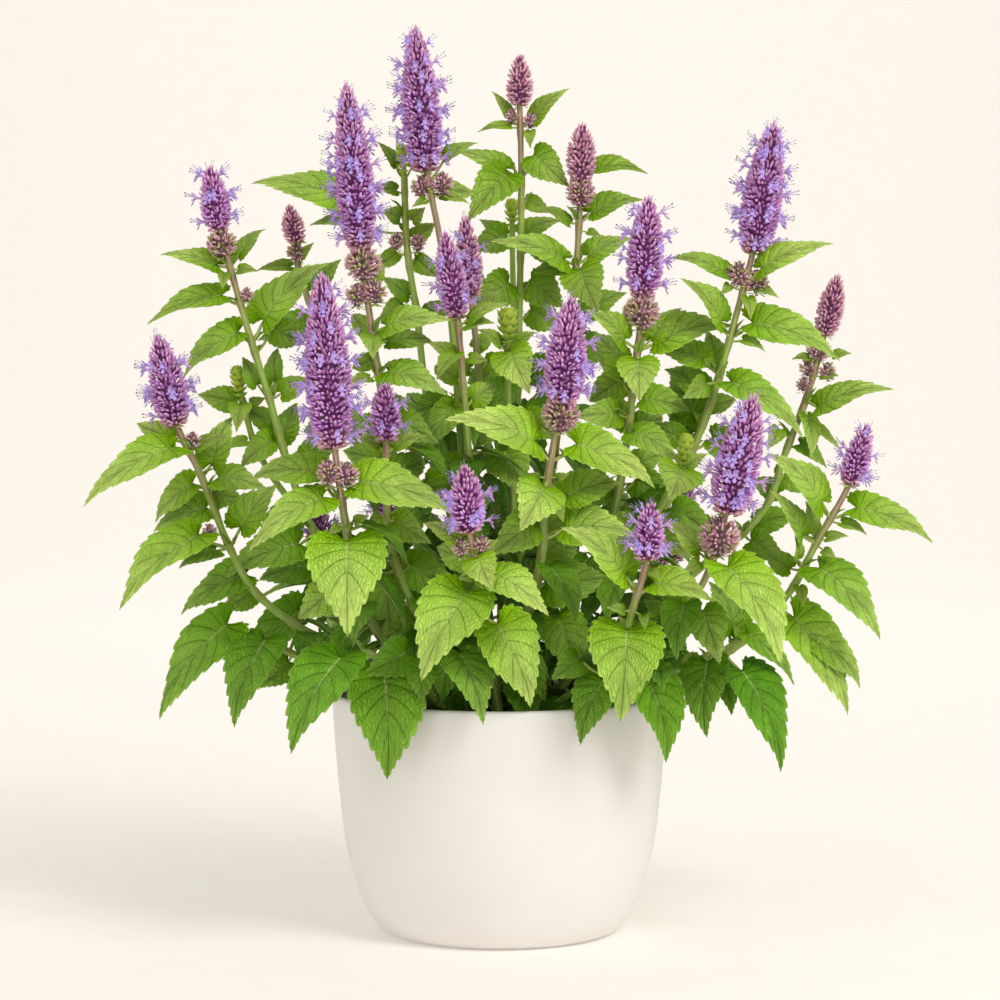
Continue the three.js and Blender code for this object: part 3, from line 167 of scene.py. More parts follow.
# Each stem: depth is the place of its top front to back, foot its place in the soil, and course the
# places [across, up] that it passes, from the soil up. Above split it is the brown flower stalk.
# spike: [base across, base up, tip across, tip up, radius], and bud the same for a green bud in its place.
# heads and buds: the small heads under it, as [across, up, radius]. leaves: [height of the joint on the
# stem, base across, base up, tip across, tip up, seen width, depth of the tip from the joint where the
# rule doesn't give it]. Only the finished plant has the buds and the sprigs, which are more leaves.
# bloom: how many of a spike's flowers are open. tone: how light the leaves of a low spray without a
# head are.
STEMS = [
    {
        "name": "01", "depth": -10, "foot": [-44, 2], "split": 322, "bloom": 0.9,
        "course": [[-72, 174], [-110, 188], [-160, 222], [-178, 252], [-197, 300], [-213, 334]],
        "spike": [-214, 335, -226, 395, 12],
        "leaves": [
            [316, -216, 320, -276, 281, 24], [300, -191, 309, -176, 341, 22, 34],
            [292, -203, 296, -228, 270, 18, 23], [292, -186, 300, -153, 292, 18, -8],
            [253, -199, 262, -253, 213, 28], [253, -188, 252, -213, 240, 14, -16],
            [253, -172, 267, -147, 296, 24, 25], [222, -168, 236, -212, 209, 22, 27],
        ],
        "sprigs": [
            [316, -200, 321, -178, 327, 9, 6], [222, -164, 224, -184, 212, 18, 20],
            [322, -216, 326, -240, 336, 18, 20], [275, -194, 280, -230, 264, 20, 24],
            [285, -190, 290, -170, 286, 18, 24],
        ],
        "buds": [[-203, 325, 6], [-192, 265, 5]],
    },
    {
        "name": "02", "depth": -30, "foot": [-48, -16], "tone": 0.1,
        "course": [[-80, 168], [-110, 173], [-137, 183], [-160, 195]],
        "leaves": [
            [194, -180, 203, -227, 139, 30], [190, -155, 193, -177, 134, 35],
            [184, -132, 212, -167, 170, 24, 27],
        ],
        "sprigs": [[176, -105, 190, -120, 160, 18, -14], [183, -140, 178, -160, 160, 20, 10]],
    },
    {
        "name": "03", "depth": 20, "foot": [-30, 14], "split": 443, "bloom": 0.8,
        "course": [
            [-64, 190], [-100, 230], [-125, 268], [-141, 312], [-152, 352], [-163, 387], [-177, 436],
            [-184, 461],
        ],
        "spike": [-185, 463, -191, 506, 10],
        "heads": [[-183, 455, 10]],
        "leaves": [
            [437, -186, 440, -224, 447, 13], [437, -172, 446, -154, 464, 12, 23],
            [412, -183, 420, -233, 401, 16], [387, -172, 396, -210, 366, 20],
            [387, -156, 404, -112, 442, 26, 23], [380, -150, 398, -131, 390, 20, 44],
            [262, -133, 256, -183, 234, 28, -20], [300, -128, 312, -108, 330, 20, 40],
        ],
        "sprigs": [
            [437, -172, 437, -159, 436, 8, -6], [434, -181, 435, -183, 424, 9, -8],
            [318, -150, 325, -172, 306, 18, 12], [350, -144, 356, -122, 366, 16, 20],
            [232, -126, 242, -160, 232, 22, 30], [318, -144, 326, -134, 350, 18, 30],
            [352, -149, 364, -146, 386, 14, 36], [330, -150, 336, -168, 346, 16, 26],
            [352, -160, 362, -170, 380, 14, 14],
        ],
        "buds": [[-167, 421, 5]],
    },
    {
        "name": "04", "depth": 130, "foot": [-20, 38], "split": 440, "bloom": 0.0,
        "course": [[-48, 240], [-90, 330], [-120, 400], [-133, 440], [-134, 454]],
        "spike": [-134, 455, -139, 480, 8],
        "heads": [[-134, 449, 7]],
        "leaves": [
            [395, -126, 402, -160, 390, 20, 23], [330, -100, 342, -130, 330, 26, 51],
            [330, -80, 345, -60, 352, 22, 17],
        ],
        "sprigs": [
            [437, -130, 446, -122, 455, 7, -5], [437, -138, 439, -161, 436, 9],
            [415, -122, 424, -104, 444, 16, 12],
        ],
    },
    {
        "name": "05", "depth": 35, "foot": [-40, 26],
        "course": [[-80, 210], [-120, 262], [-150, 300], [-163, 325], [-169, 349]],
        "bud": [-170, 350, -174, 375, 5],
        "leaves": [
            [343, -174, 350, -200, 355, 18, 13], [341, -171, 348, -174, 330, 16, -8],
            [270, -134, 278, -160, 262, 24, 34],
        ],
        "sprigs": [
            [343, -164, 349, -154, 353, 8], [322, -167, 324, -184, 317, 9], [322, -158, 326, -146, 322, 9],
        ],
    },
    {
        "name": "06", "depth": -20, "foot": [-22, -18], "split": 403, "bloom": 1.0,
        "course": [[-34, 200], [-56, 260], [-72, 320], [-79, 360], [-84, 395], [-92, 449]],
        "spike": [-92, 451, -101, 560, 12.5],
        "heads": [[-90, 442, 12], [-94, 421, 8], [-82, 423, 8]],
        "leaves": [
            [395, -75, 400, -31, 404, 18], [393, -83, 394, -84, 378, 17], [388, -74, 390, -42, 388, 14, 34],
            [366, -74, 370, -34, 354, 20, -14], [330, -66, 338, -40, 322, 22],
            [330, -82, 336, -100, 322, 20, 27], [290, -50, 298, -30, 280, 24, 30],
        ],
        "sprigs": [
            [366, -86, 366, -102, 361, 8], [388, -86, 396, -98, 408, 14, 30],
            [305, -78, 312, -104, 318, 20, 30], [372, -84, 378, -98, 372, 12, 24],
            [425, -84, 430, -76, 441, 12, 12],
        ],
    },
    {
        "name": "07", "depth": 30, "foot": [-12, 12], "split": 476, "bloom": 1.0,
        "course": [[-16, 200], [-24, 300], [-30, 380], [-34, 420], [-40, 460], [-48, 500]],
        "spike": [-49, 502, -56, 597, 13],
        "heads": [[-51, 492, 8], [-38, 494, 8]],
        "leaves": [[430, -28, 438, -8, 428, 18, 23]],
        "sprigs": [
            [485, -49, 483, -58, 478, 7, -10], [485, -38, 486, -20, 480, 8],
            [494, -36, 511, -14, 520, 10, 10], [340, -36, 350, -60, 342, 22, 20],
            [485, -38, 488, -14, 486, 14, 20],
        ],
    },
    {
        "name": "08", "depth": 55, "foot": [-14, 30],
        "course": [[-30, 260], [-48, 350], [-55, 410], [-61, 450], [-63, 499]],
        "bud": [-63, 500, -65, 520, 4.5],
        "leaves": [
            [468, -66, 472, -78, 476, 13, -4], [468, -58, 470, -49, 478, 12, -4],
            [474, -102, 482, -164, 494, 24, 27], [446, -68, 448, -82, 438, 12, 20],
            [400, -48, 408, -28, 414, 14, 20],
        ],
        "sprigs": [
            [494, -68, 506, -81, 521, 9], [494, -58, 504, -50, 512, 8, 6],
            [486, -68, 489, -84, 490, 10, -6], [460, -98, 469, -126, 466, 10, 10],
            [410, -64, 414, -80, 404, 16, 14], [415, -60, 420, -78, 432, 14, 16],
            [440, -56, 444, -40, 432, 14, 20], [455, -56, 458, -42, 468, 12, 16],
            [335, -46, 340, -62, 356, 20, 34],
        ],
        "buds": [[-68, 456, 6], [-54, 455, 6]],
    },
    {
        "name": "09", "depth": -20, "foot": [-2, -20], "split": 388, "bloom": 0.7,
        "course": [[-8, 210], [-15, 270], [-21, 320], [-25, 370], [-28, 405]],
        "spike": [-28, 406, -37, 463, 10],
        "leaves": [
            [378, -29, 382, -42, 364, 12, -8], [345, -30, 347, -48, 318, 20],
            [345, -18, 352, -2, 362, 17, 20], [300, -26, 308, -50, 296, 24, 34],
        ],
        "sprigs": [
            [400, -20, 405, 6, 415, 10], [398, -22, 400, -3, 402, 9, -8], [378, -32, 382, -48, 389, 10, 8],
            [378, -20, 379, -8, 377, 8], [360, -28, 366, -44, 374, 14, 40],
        ],
    },
    {
        "name": "10", "depth": 22, "foot": [4, 4], "split": 408, "bloom": 0.25,
        "course": [[2, 220], [-6, 300], [-13, 360], [-17, 400], [-19, 419]],
        "spike": [-19, 420, -23, 473, 9],
        "leaves": [[370, -8, 376, 10, 372, 16, 23]],
        "sprigs": [
            [402, -14, 408, 0, 424, 10], [370, -20, 372, -32, 376, 12, 16],
            [380, -16, 386, -4, 396, 12, 26],
        ],
    },
    {
        "name": "11", "depth": 62, "foot": [4, 26], "split": 533, "bloom": 0.0,
        "course": [[6, 240], [11, 340], [13, 420], [14, 495], [13, 544]],
        "spike": [13, 545, 13, 578, 9],
        "leaves": [
            [528, 22, 536, 46, 556, 13], [495, 4, 503, -32, 514, 14, 13], [490, 5, 500, -22, 468, 28, -14],
            [495, 22, 512, 46, 491, 24, -6], [450, 4, 460, -20, 450, 20, 23],
            [420, 6, 428, -20, 412, 26, -6], [420, 20, 430, 42, 412, 26, 17],
            [360, 2, 372, -22, 362, 24, 40],
        ],
        "sprigs": [
            [528, 5, 539, -6, 554, 8, 8], [528, 6, 531, -15, 527, 7, -4], [526, 20, 528, 20, 516, 8, -8],
            [446, 24, 454, 44, 440, 18, 14], [480, 18, 482, 34, 474, 12, 12],
        ],
        "buds": [[8, 538, 5.5], [20, 535, 5.5]],
    },
    {
        "name": "12", "depth": 105, "foot": [14, 40],
        "course": [[10, 300], [9, 400], [8, 464]],
        "bud": [8, 465, 8, 483, 5],
        "leaves": [
            [455, 15, 461, 42, 469, 14, 13], [455, 2, 460, -14, 470, 12, 13],
            [400, 20, 410, 40, 400, 22, 34], [340, 26, 352, 52, 346, 26, 51],
        ],
        "sprigs": [[340, -6, 352, -34, 344, 26, 30]],
    },
    {
        "name": "13", "depth": 48, "foot": [20, 14], "split": 474, "bloom": 0.05,
        "course": [[26, 240], [38, 330], [46, 400], [51, 450], [53, 494]],
        "spike": [53, 495, 54, 534, 10],
        "heads": [[53, 488, 10]],
        "leaves": [
            [466, 60, 474, 95, 483, 16], [440, 42, 444, -8, 456, 18, -8], [440, 58, 446, 87, 458, 17, 13],
            [436, 52, 437, 65, 408, 30, -16], [430, 42, 438, 20, 434, 12, 17],
            [380, 54, 388, 76, 380, 22, 27], [370, 32, 376, 14, 360, 22, 23],
        ],
        "sprigs": [
            [482, 62, 504, 98, 500, 12, 18], [466, 45, 468, 24, 478, 9, -4], [462, 58, 462, 67, 459, 6, -5],
            [400, 56, 408, 84, 422, 18, 24],
        ],
    },
    {
        "name": "14", "depth": 0, "foot": [10, -12],
        "course": [[10, 210], [9, 270], [6, 330], [5, 386]],
        "bud": [5, 387, 5, 411, 6.5],
        "leaves": [
            [380, 6, 383, 20, 355, 28, -14], [315, 3, 318, 18, 286, 30, -18],
            [330, 18, 340, 40, 326, 20, 20],
        ],
        "sprigs": [
            [382, 0, 388, -16, 398, 9, -6], [382, 12, 390, 24, 396, 8, 4], [330, -2, 336, -18, 318, 16, 10],
        ],
    },
    {
        "name": "15", "depth": -20, "foot": [24, -14], "split": 394, "bloom": 0.9,
        "course": [[46, 210], [68, 250], [80, 300], [88, 360], [94, 418]],
        "spike": [94, 420, 98, 486, 12],
        "heads": [[93, 410, 12]],
        "leaves": [
            [385, 82, 391, 56, 411, 18], [385, 102, 389, 155, 400, 22], [380, 91, 378, 92, 350, 28, -16],
            [355, 80, 364, 58, 350, 22, 27], [338, 78, 342, 48, 340, 20, -8],
            [342, 94, 352, 126, 344, 20, 23], [325, 88, 330, 119, 310, 20, -8],
            [290, 70, 298, 48, 280, 24, 27], [290, 90, 298, 116, 284, 24, 34],
        ],
        "sprigs": [
            [385, 100, 392, 120, 412, 16, 30], [360, 82, 368, 62, 382, 16, 24],
            [305, 86, 308, 110, 318, 18, 30], [372, 80, 378, 62, 396, 18, 30],
            [330, 84, 336, 72, 352, 18, 60], [330, 86, 334, 108, 340, 18, 60],
            [268, 74, 272, 84, 290, 22, 50],
        ],
    },
    {
        "name": "16", "depth": -45, "foot": [32, -24],
        "course": [[64, 200], [94, 256], [112, 292], [118, 304]],
        "bud": [118, 305, 124, 330, 5],
        "leaves": [
            [295, 120, 306, 112, 284, 32, -26], [262, 106, 264, 128, 246, 20, -12],
            [262, 88, 270, 66, 262, 20, 17],
        ],
        "sprigs": [[299, 123, 307, 138, 316, 10], [299, 112, 308, 104, 316, 8, 5]],
    },
    {
        "name": "17", "depth": -10, "foot": [38, -2], "split": 440, "bloom": 1.0,
        "course": [[78, 225], [110, 282], [130, 325], [144, 365], [155, 405], [166, 447]],
        "spike": [167, 449, 180, 535, 13],
        "heads": [[157, 435, 8], [169, 430, 8]],
        "leaves": [
            [427, 149, 435, 109, 445, 13], [427, 172, 438, 220, 454, 17], [392, 146, 403, 119, 432, 18],
            [392, 166, 402, 225, 377, 24], [362, 136, 362, 120, 352, 16], [366, 134, 378, 100, 384, 18, 23],
            [362, 152, 363, 201, 326, 22], [318, 140, 326, 168, 306, 22, 27],
            [268, 114, 280, 142, 262, 24, 23],
        ],
        "sprigs": [
            [423, 151, 427, 145, 420, 7, -6], [423, 170, 425, 184, 418, 7, -4],
            [422, 163, 419, 165, 404, 10, -10], [390, 160, 391, 175, 383, 8, -4],
            [318, 118, 326, 100, 336, 18, 12], [318, 127, 330, 108, 354, 20, 36],
            [350, 134, 358, 108, 372, 18, 34], [366, 142, 374, 136, 398, 16, 30],
            [335, 130, 340, 112, 370, 24, 44], [345, 138, 348, 156, 352, 14, 30],
        ],
    },
    {
        "name": "18", "depth": 42, "foot": [36, 18], "split": 360, "bloom": 0.05,
        "course": [[80, 196], [130, 238], [174, 278], [189, 318], [203, 355], [213, 392]],
        "spike": [214, 394, 223, 435, 9],
        "heads": [[210, 385, 8.5]],
        "leaves": [
            [350, 210, 347, 260, 359, 17], [346, 202, 341, 205, 312, 14, -8],
            [325, 184, 332, 176, 318, 12, -8], [320, 198, 322, 216, 306, 12, 6],
            [262, 166, 258, 190, 246, 22, -10],
        ],
        "sprigs": [
            [378, 204, 379, 192, 378, 6, -5], [378, 220, 381, 232, 382, 7, -4],
            [366, 212, 367, 224, 367, 6, -4], [340, 207, 334, 225, 317, 7],
            [262, 140, 270, 124, 254, 20, 14], [262, 170, 270, 196, 276, 18, 26],
            [300, 188, 302, 204, 290, 16, 20], [285, 184, 290, 166, 300, 16, 20],
        ],
        "buds": [[203, 373, 6], [216, 371, 6], [200, 362, 5]],
    },
    {
        "name": "19", "depth": -20, "foot": [46, -16], "split": 284, "bloom": 0.8,
        "course": [[78, 164], [112, 170], [150, 184], [190, 222], [210, 258], [230, 294]],
        "spike": [231, 296, 243, 336, 9],
        "leaves": [
            [273, 235, 280, 287, 257, 20], [273, 213, 284, 176, 317, 22], [258, 206, 264, 202, 285, 12, 17],
            [256, 200, 262, 178, 292, 14, -10], [238, 211, 240, 253, 193, 28],
            [214, 194, 208, 231, 142, 32],
        ],
        "sprigs": [
            [271, 226, 270, 243, 262, 8, -5], [258, 216, 260, 231, 261, 7, -6],
            [255, 214, 252, 223, 246, 7, -8], [240, 197, 247, 195, 262, 8, -6],
            [230, 198, 228, 201, 214, 9, -8], [186, 152, 196, 148, 228, 22, 34],
            [238, 192, 240, 176, 250, 16, 30], [214, 206, 196, 240, 160, 22, 20],
            [190, 156, 200, 138, 232, 22, 40],
        ],
    },
    {
        "name": "20", "depth": -112, "foot": [36, -38], "split": 247, "bloom": 1.0,
        "course": [[72, 166], [104, 178], [120, 206], [138, 238], [149, 275]],
        "spike": [150, 277, 168, 356, 14],
        "heads": [[145, 262, 13]],
        "leaves": [
            [244, 150, 241, 187, 175, 35], [243, 132, 251, 108, 271, 14],
            [210, 134, 212, 146, 176, 26, -10],
        ],
        "sprigs": [
            [242, 132, 244, 121, 238, 10, -6], [200, 110, 206, 90, 196, 18, 10],
            [205, 118, 212, 92, 226, 20, 70],
        ],
    },
    {
        "name": "21", "depth": -140, "foot": [26, -52], "split": 232, "bloom": 0.8,
        "course": [[54, 162], [78, 186], [90, 220], [97, 244]],
        "spike": [97, 246, 100, 284, 10],
        "leaves": [
            [223, 83, 236, 40, 268, 22], [223, 102, 230, 142, 218, 18], [198, 84, 199, 80, 137, 47],
        ],
        "sprigs": [
            [236, 100, 239, 106, 232, 6, -4], [212, 82, 212, 70, 214, 7, -6],
            [212, 95, 209, 96, 199, 7, -8],
        ],
    },
    {
        "name": "22", "depth": -105, "foot": [8, -46], "split": 317, "bloom": 0.95,
        "course": [[14, 190], [27, 245], [31, 295], [35, 320], [40, 347]],
        "spike": [41, 349, 47, 420, 13],
        "heads": [[40, 343, 12]],
        "leaves": [
            [310, 23, 324, -37, 339, 26], [310, 50, 322, 103, 293, 24], [298, 29, 294, 13, 264, 32],
            [298, 44, 288, 80, 297, 22, 37], [258, 21, 270, -8, 248, 26], [258, 43, 267, 90, 262, 26],
            [228, 30, 230, 72, 234, 32, 27], [204, 38, 207, 53, 164, 30],
        ],
        "sprigs": [
            [300, 25, 300, 17, 303, 6, -6], [300, 38, 300, 46, 303, 6, -6], [285, 36, 283, 42, 270, 9, -8],
            [250, 28, 252, 46, 262, 16, 40], [245, 26, 250, 52, 256, 24, 60],
            [262, 28, 266, 44, 278, 20, 60],
        ],
    },
    {
        "name": "23", "depth": -150, "foot": [-10, -56], "split": 256, "bloom": 0.8,
        "course": [[-11, 180], [-13, 220], [-17, 248], [-20, 263]],
        "spike": [-21, 264, -23, 309, 11],
        "leaves": [
            [250, -26, 258, -52, 270, 13], [247, -15, 247, -5, 225, 22, -16], [237, -5, 236, 33, 208, 22],
            [236, -19, 236, -31, 232, 12, -6], [222, -22, 224, -53, 165, 42], [210, -2, 203, 21, 147, 36],
        ],
        "sprigs": [[251, -10, 254, -1, 259, 7, -4], [240, -17, 246, -42, 254, 20, 70]],
        "buds": [[-26, 254, 6], [-12, 256, 6]],
    },
    {
        "name": "24", "depth": -60, "foot": [-20, -34], "split": 305, "bloom": 0.85,
        "course": [[-50, 200], [-68, 240], [-75, 280], [-75, 324]],
        "spike": [-75, 325, -76, 363, 10],
        "leaves": [
            [272, -69, 271, -45, 256, 22], [240, -77, 236, -74, 197, 26], [236, -60, 242, -27, 222, 26, 30],
        ],
        "sprigs": [
            [316, -70, 320, -48, 328, 10], [316, -80, 320, -94, 326, 8, 8],
            [274, -80, 275, -88, 270, 8, -6], [200, -56, 206, -82, 190, 22, 24],
            [236, -62, 240, -38, 248, 18, 30], [296, -75, 302, -48, 312, 22, 60],
            [262, -73, 266, -46, 276, 20, 60],
        ],
    },
    {
        "name": "25", "depth": -105, "foot": [-36, -40], "split": 294, "bloom": 1.0,
        "course": [[-60, 172], [-80, 196], [-94, 230], [-103, 275], [-109, 318]],
        "spike": [-110, 320, -118, 436, 14.5],
        "heads": [[-113, 304, 8], [-101, 303, 8]],
        "leaves": [
            [283, -117, 287, -167, 251, 22], [283, -93, 297, -30, 276, 26], [262, -101, 258, -101, 194, 50],
            [280, -120, 304, -168, 298, 18, 34], [220, -108, 228, -134, 206, 26, 23],
        ],
        "sprigs": [[270, -107, 268, -114, 262, 7, -8], [270, -96, 271, -86, 275, 7, -6]],
    },
    {
        "name": "26", "depth": -105, "foot": [-42, -46], "tone": 0.1,
        "course": [[-58, 166], [-76, 178], [-92, 186]],
        "leaves": [
            [177, -77, 171, -75, 99, 48], [184, -105, 181, -139, 116, 38],
            [172, -62, 184, -92, 168, 25, -14],
        ],
        "sprigs": [[172, -52, 174, -52, 150, 20, -14]],
    },
    {
        "name": "27", "depth": -100, "foot": [0, -66], "tone": 0.1,
        "course": [[-6, 172], [-14, 188]],
        "leaves": [
            [182, -27, 184, -11, 136, 30], [178, -34, 178, -39, 146, 22, 4], [176, 12, 178, 33, 147, 20, 2],
        ],
        "sprigs": [],
    },
    {
        "name": "28", "depth": -100, "foot": [44, -44], "tone": 0.1,
        "course": [[62, 164], [78, 172], [92, 182]],
        "leaves": [
            [170, 69, 166, 53, 122, 26], [176, 96, 169, 111, 110, 32], [180, 104, 200, 124, 186, 26, 30],
        ],
        "sprigs": [[168, 52, 180, 34, 166, 20, -6]],
    },
    {
        "name": "29", "depth": -55, "foot": [52, -26], "tone": 0.1,
        "course": [[86, 166], [120, 174], [150, 188]],
        "leaves": [
            [184, 138, 178, 137, 127, 30], [186, 160, 172, 187, 104, 32], [188, 163, 197, 196, 162, 14, 6],
        ],
        "sprigs": [
            [174, 123, 166, 125, 150, 9, -8], [178, 118, 186, 104, 170, 20, 10],
            [182, 146, 172, 154, 142, 20, -6],
        ],
    },
]

# The stems behind, which stand by a rule
BACK_COUNT = 5
BACK_DEGREES = (32, 148)
BACK_FOOT_RADIUS = 62
BACK_REACH = (150, 195)
BACK_HEIGHT = (215, 262)
BACK_SPIKE_LENGTH = (42, 56)
BACK_SPIKE_RADIUS = 10.5
BACK_JOINTS = (0.42, 0.62, 0.82)
BACK_LEAF_LENGTH = (62, 44)
BACK_SPLIT = 0.9
BACK_BLOOM = 0.6

# Kinds of surface, in the order of each plant piece's materials
LEAF_KIND, STEM_KIND, CALYX_KIND, COROLLA_KIND, STAMEN_KIND, CORE_KIND = range(6)

chance = np.random.default_rng(SEED)


# Points and directions

def even_turns(count):
    return 2 * math.pi * np.arange(count) / count


def flat_way(heading):
    """The level direction at a heading, counted from +X."""
    return np.array([math.cos(heading), math.sin(heading), 0])


def unit(vector):
    vector = np.asarray(vector, float)
    return vector / np.linalg.norm(vector, axis=-1, keepdims=True)


def between(ends, share):
    return ends[0] + (ends[1] - ends[0]) * share


def sight(across, up, depth):
    """The true place of what the eye sees at `across` and `up` in the plane of the pot's axis."""
    spread = 1 + depth / EYE_DISTANCE
    return np.array([across * spread, depth, EYE_HEIGHT + (up - EYE_HEIGHT) * spread])


def curve_through(points, shares):
    """Points on a centripetal Catmull-Rom curve, whose knots lie at even shares."""
    points = np.asarray(points, float)
    ends = np.vstack([2 * points[0] - points[1], points, 2 * points[-1] - points[-2]])
    place = np.clip(shares, 0, 1) * (len(points) - 1)
    knot = np.minimum(place.astype(int), len(points) - 2)
    w = (place - knot)[:, None]
    a, b, c, d = (ends[knot + i] for i in range(4))
    steps = [np.linalg.norm(step, axis=1, keepdims=True) for step in (b - a, c - b, d - c)]
    first, middle, last = (np.maximum(step, 1e-6) ** 0.5 for step in steps)
    leave = ((b - a) / first - (c - a) / (first + middle) + (c - b) / middle) * middle
    arrive = ((c - b) / middle - (d - b) / (middle + last) + (d - c) / last) * middle
    return b + leave * w + (3 * (c - b) - 2 * leave - arrive) * w**2 + (2 * (b - c) + leave + arrive) * w**3


def evenly(points, count):
    """That many points at even distances along a line of points."""
    steps = np.linalg.norm(np.diff(points, axis=0), axis=1)
    reach = np.concatenate([[0], np.cumsum(steps)])
    wanted = np.linspace(0, reach[-1], count)
    return np.stack([np.interp(wanted, reach, points[:, i]) for i in range(3)], axis=1)


def cross_axes(ahead):
    """Two directions across the way ahead, the first as near to +X as it can be."""
    side = unit(np.array([1.0, 0, 0]) - ahead * ahead[0])
    return side, np.cross(ahead, side)


# Skins: the vertices, faces and notes of one piece, gathered from many small closed shells

class Skin:
    def __init__(self):
        self.points, self.faces, self.kinds = [], [], []
        self.notes = {"part": [], "tint": []}
        self.count = 0

    def add(self, points, faces, part, tint, kind=0):
        """part and tint are three numbers for each vertex, or for all, that the materials read."""
        size = len(points)
        self.points.append(points)
        for group in faces:
            self.faces.append(np.asarray(group) + self.count)
            self.kinds.append(np.full(len(group), kind))
        self.notes["part"].append(np.broadcast_to(part, (size, 3)))
        self.notes["tint"].append(np.broadcast_to(tint, (size, 3)))
        self.count += size

    def piece(self, name, materials, smooth=True):
        mesh = bpy.data.meshes.new(name)
        points = np.concatenate(self.points) * MM
        corners = np.concatenate([group.ravel() for group in self.faces])
        sizes = np.concatenate([np.full(len(group), group.shape[1]) for group in self.faces])
        mesh.vertices.add(len(points))
        mesh.vertices.foreach_set("co", points.astype(np.float32).ravel())
        mesh.loops.add(len(corners))
        mesh.loops.foreach_set("vertex_index", corners.astype(np.int32))
        mesh.polygons.add(len(sizes))
        mesh.polygons.foreach_set("loop_start", (np.cumsum(sizes) - sizes).astype(np.int32))
        mesh.polygons.foreach_set("material_index", np.concatenate(self.kinds).astype(np.int32))
        for key, values in self.notes.items():
            note = mesh.attributes.new(key, "FLOAT_VECTOR", "POINT")
            note.data.foreach_set("vector", np.concatenate(values).astype(np.float32).ravel())
        mesh.update(calc_edges=True)
        mesh.validate()
        if smooth:
            mesh.shade_smooth()
            mesh.set_sharp_from_angle(angle=SHARP_ANGLE)
        for material in materials:
            mesh.materials.append(material)
        made = bpy.data.objects.new(name, mesh)
        bpy.context.scene.collection.objects.link(made)
        return made


def ring_faces(rings, sides):
    """Quads between rings of points, and the fans that close both ends on two points more."""
    around = np.arange(sides)
    after = (around + 1) % sides
    quads = [
        np.stack([low + around, low + after, low + sides + after, low + sides + around], axis=1)
        for low in sides * np.arange(rings - 1)
    ]
    last = (rings - 1) * sides
    ends = [
        np.stack([after, around, np.full(sides, rings * sides)], axis=1),
        np.stack([last + around, last + after, np.full(sides, rings * sides + 1)], axis=1),
    ]
    return [np.concatenate(quads), np.concatenate(ends)]


def tube(centres, radii, sides, section=None):
    """A closed tube along its centres. section gives the radius at each angle, as a share."""
    centres = np.asarray(centres, float)
    angles = even_turns(sides)
    shape = np.ones(sides) if section is None else section(angles)
    rings = []
    for centre, way, radius in zip(centres, unit(np.gradient(centres, axis=0)), radii):
        side, up = cross_axes(way)
        spokes = np.cos(angles)[:, None] * side + np.sin(angles)[:, None] * up
        rings.append(centre + radius * shape[:, None] * spokes)
    points = np.concatenate([*rings, centres[:1], centres[-1:]])
    along = np.concatenate([np.repeat(np.linspace(0, 1, len(centres)), sides), [0, 1]])
    about = np.concatenate([np.tile(angles, len(centres)), [0, 0]])
    return points, ring_faces(len(centres), sides), along, about


def scatter(skin, template, origins, ahead, up, scales, tints, kind):
    """Copies of a small shell, each with its own place, way ahead, way up, size and tint."""
    shape, faces, part = template
    side = unit(np.cross(up, ahead))
    lift = np.cross(ahead, side)
    axes = np.stack([side, lift, ahead], axis=1)
    points = origins[:, None] + np.einsum("kj,nji->nki", shape, axes) * scales[:, None, None]
    copies, size = len(origins), len(shape)
    jumps = np.arange(copies)[:, None, None] * size
    groups = [(np.asarray(group)[None] + jumps).reshape(-1, np.asarray(group).shape[1]) for group in faces]
    skin.add(points.reshape(-1, 3), groups, np.tile(part, (copies, 1)), np.repeat(tints, size, axis=0), kind)


# Materials

def colour(code):
    """The linear colour of a web colour."""
    shares = [int(code[i : i + 2], 16) / 255 for i in (1, 3, 5)]
    return tuple(s / 12.92 if s <= 0.04045 else ((s + 0.055) / 1.055) ** 2.4 for s in shares) + (1.0,)


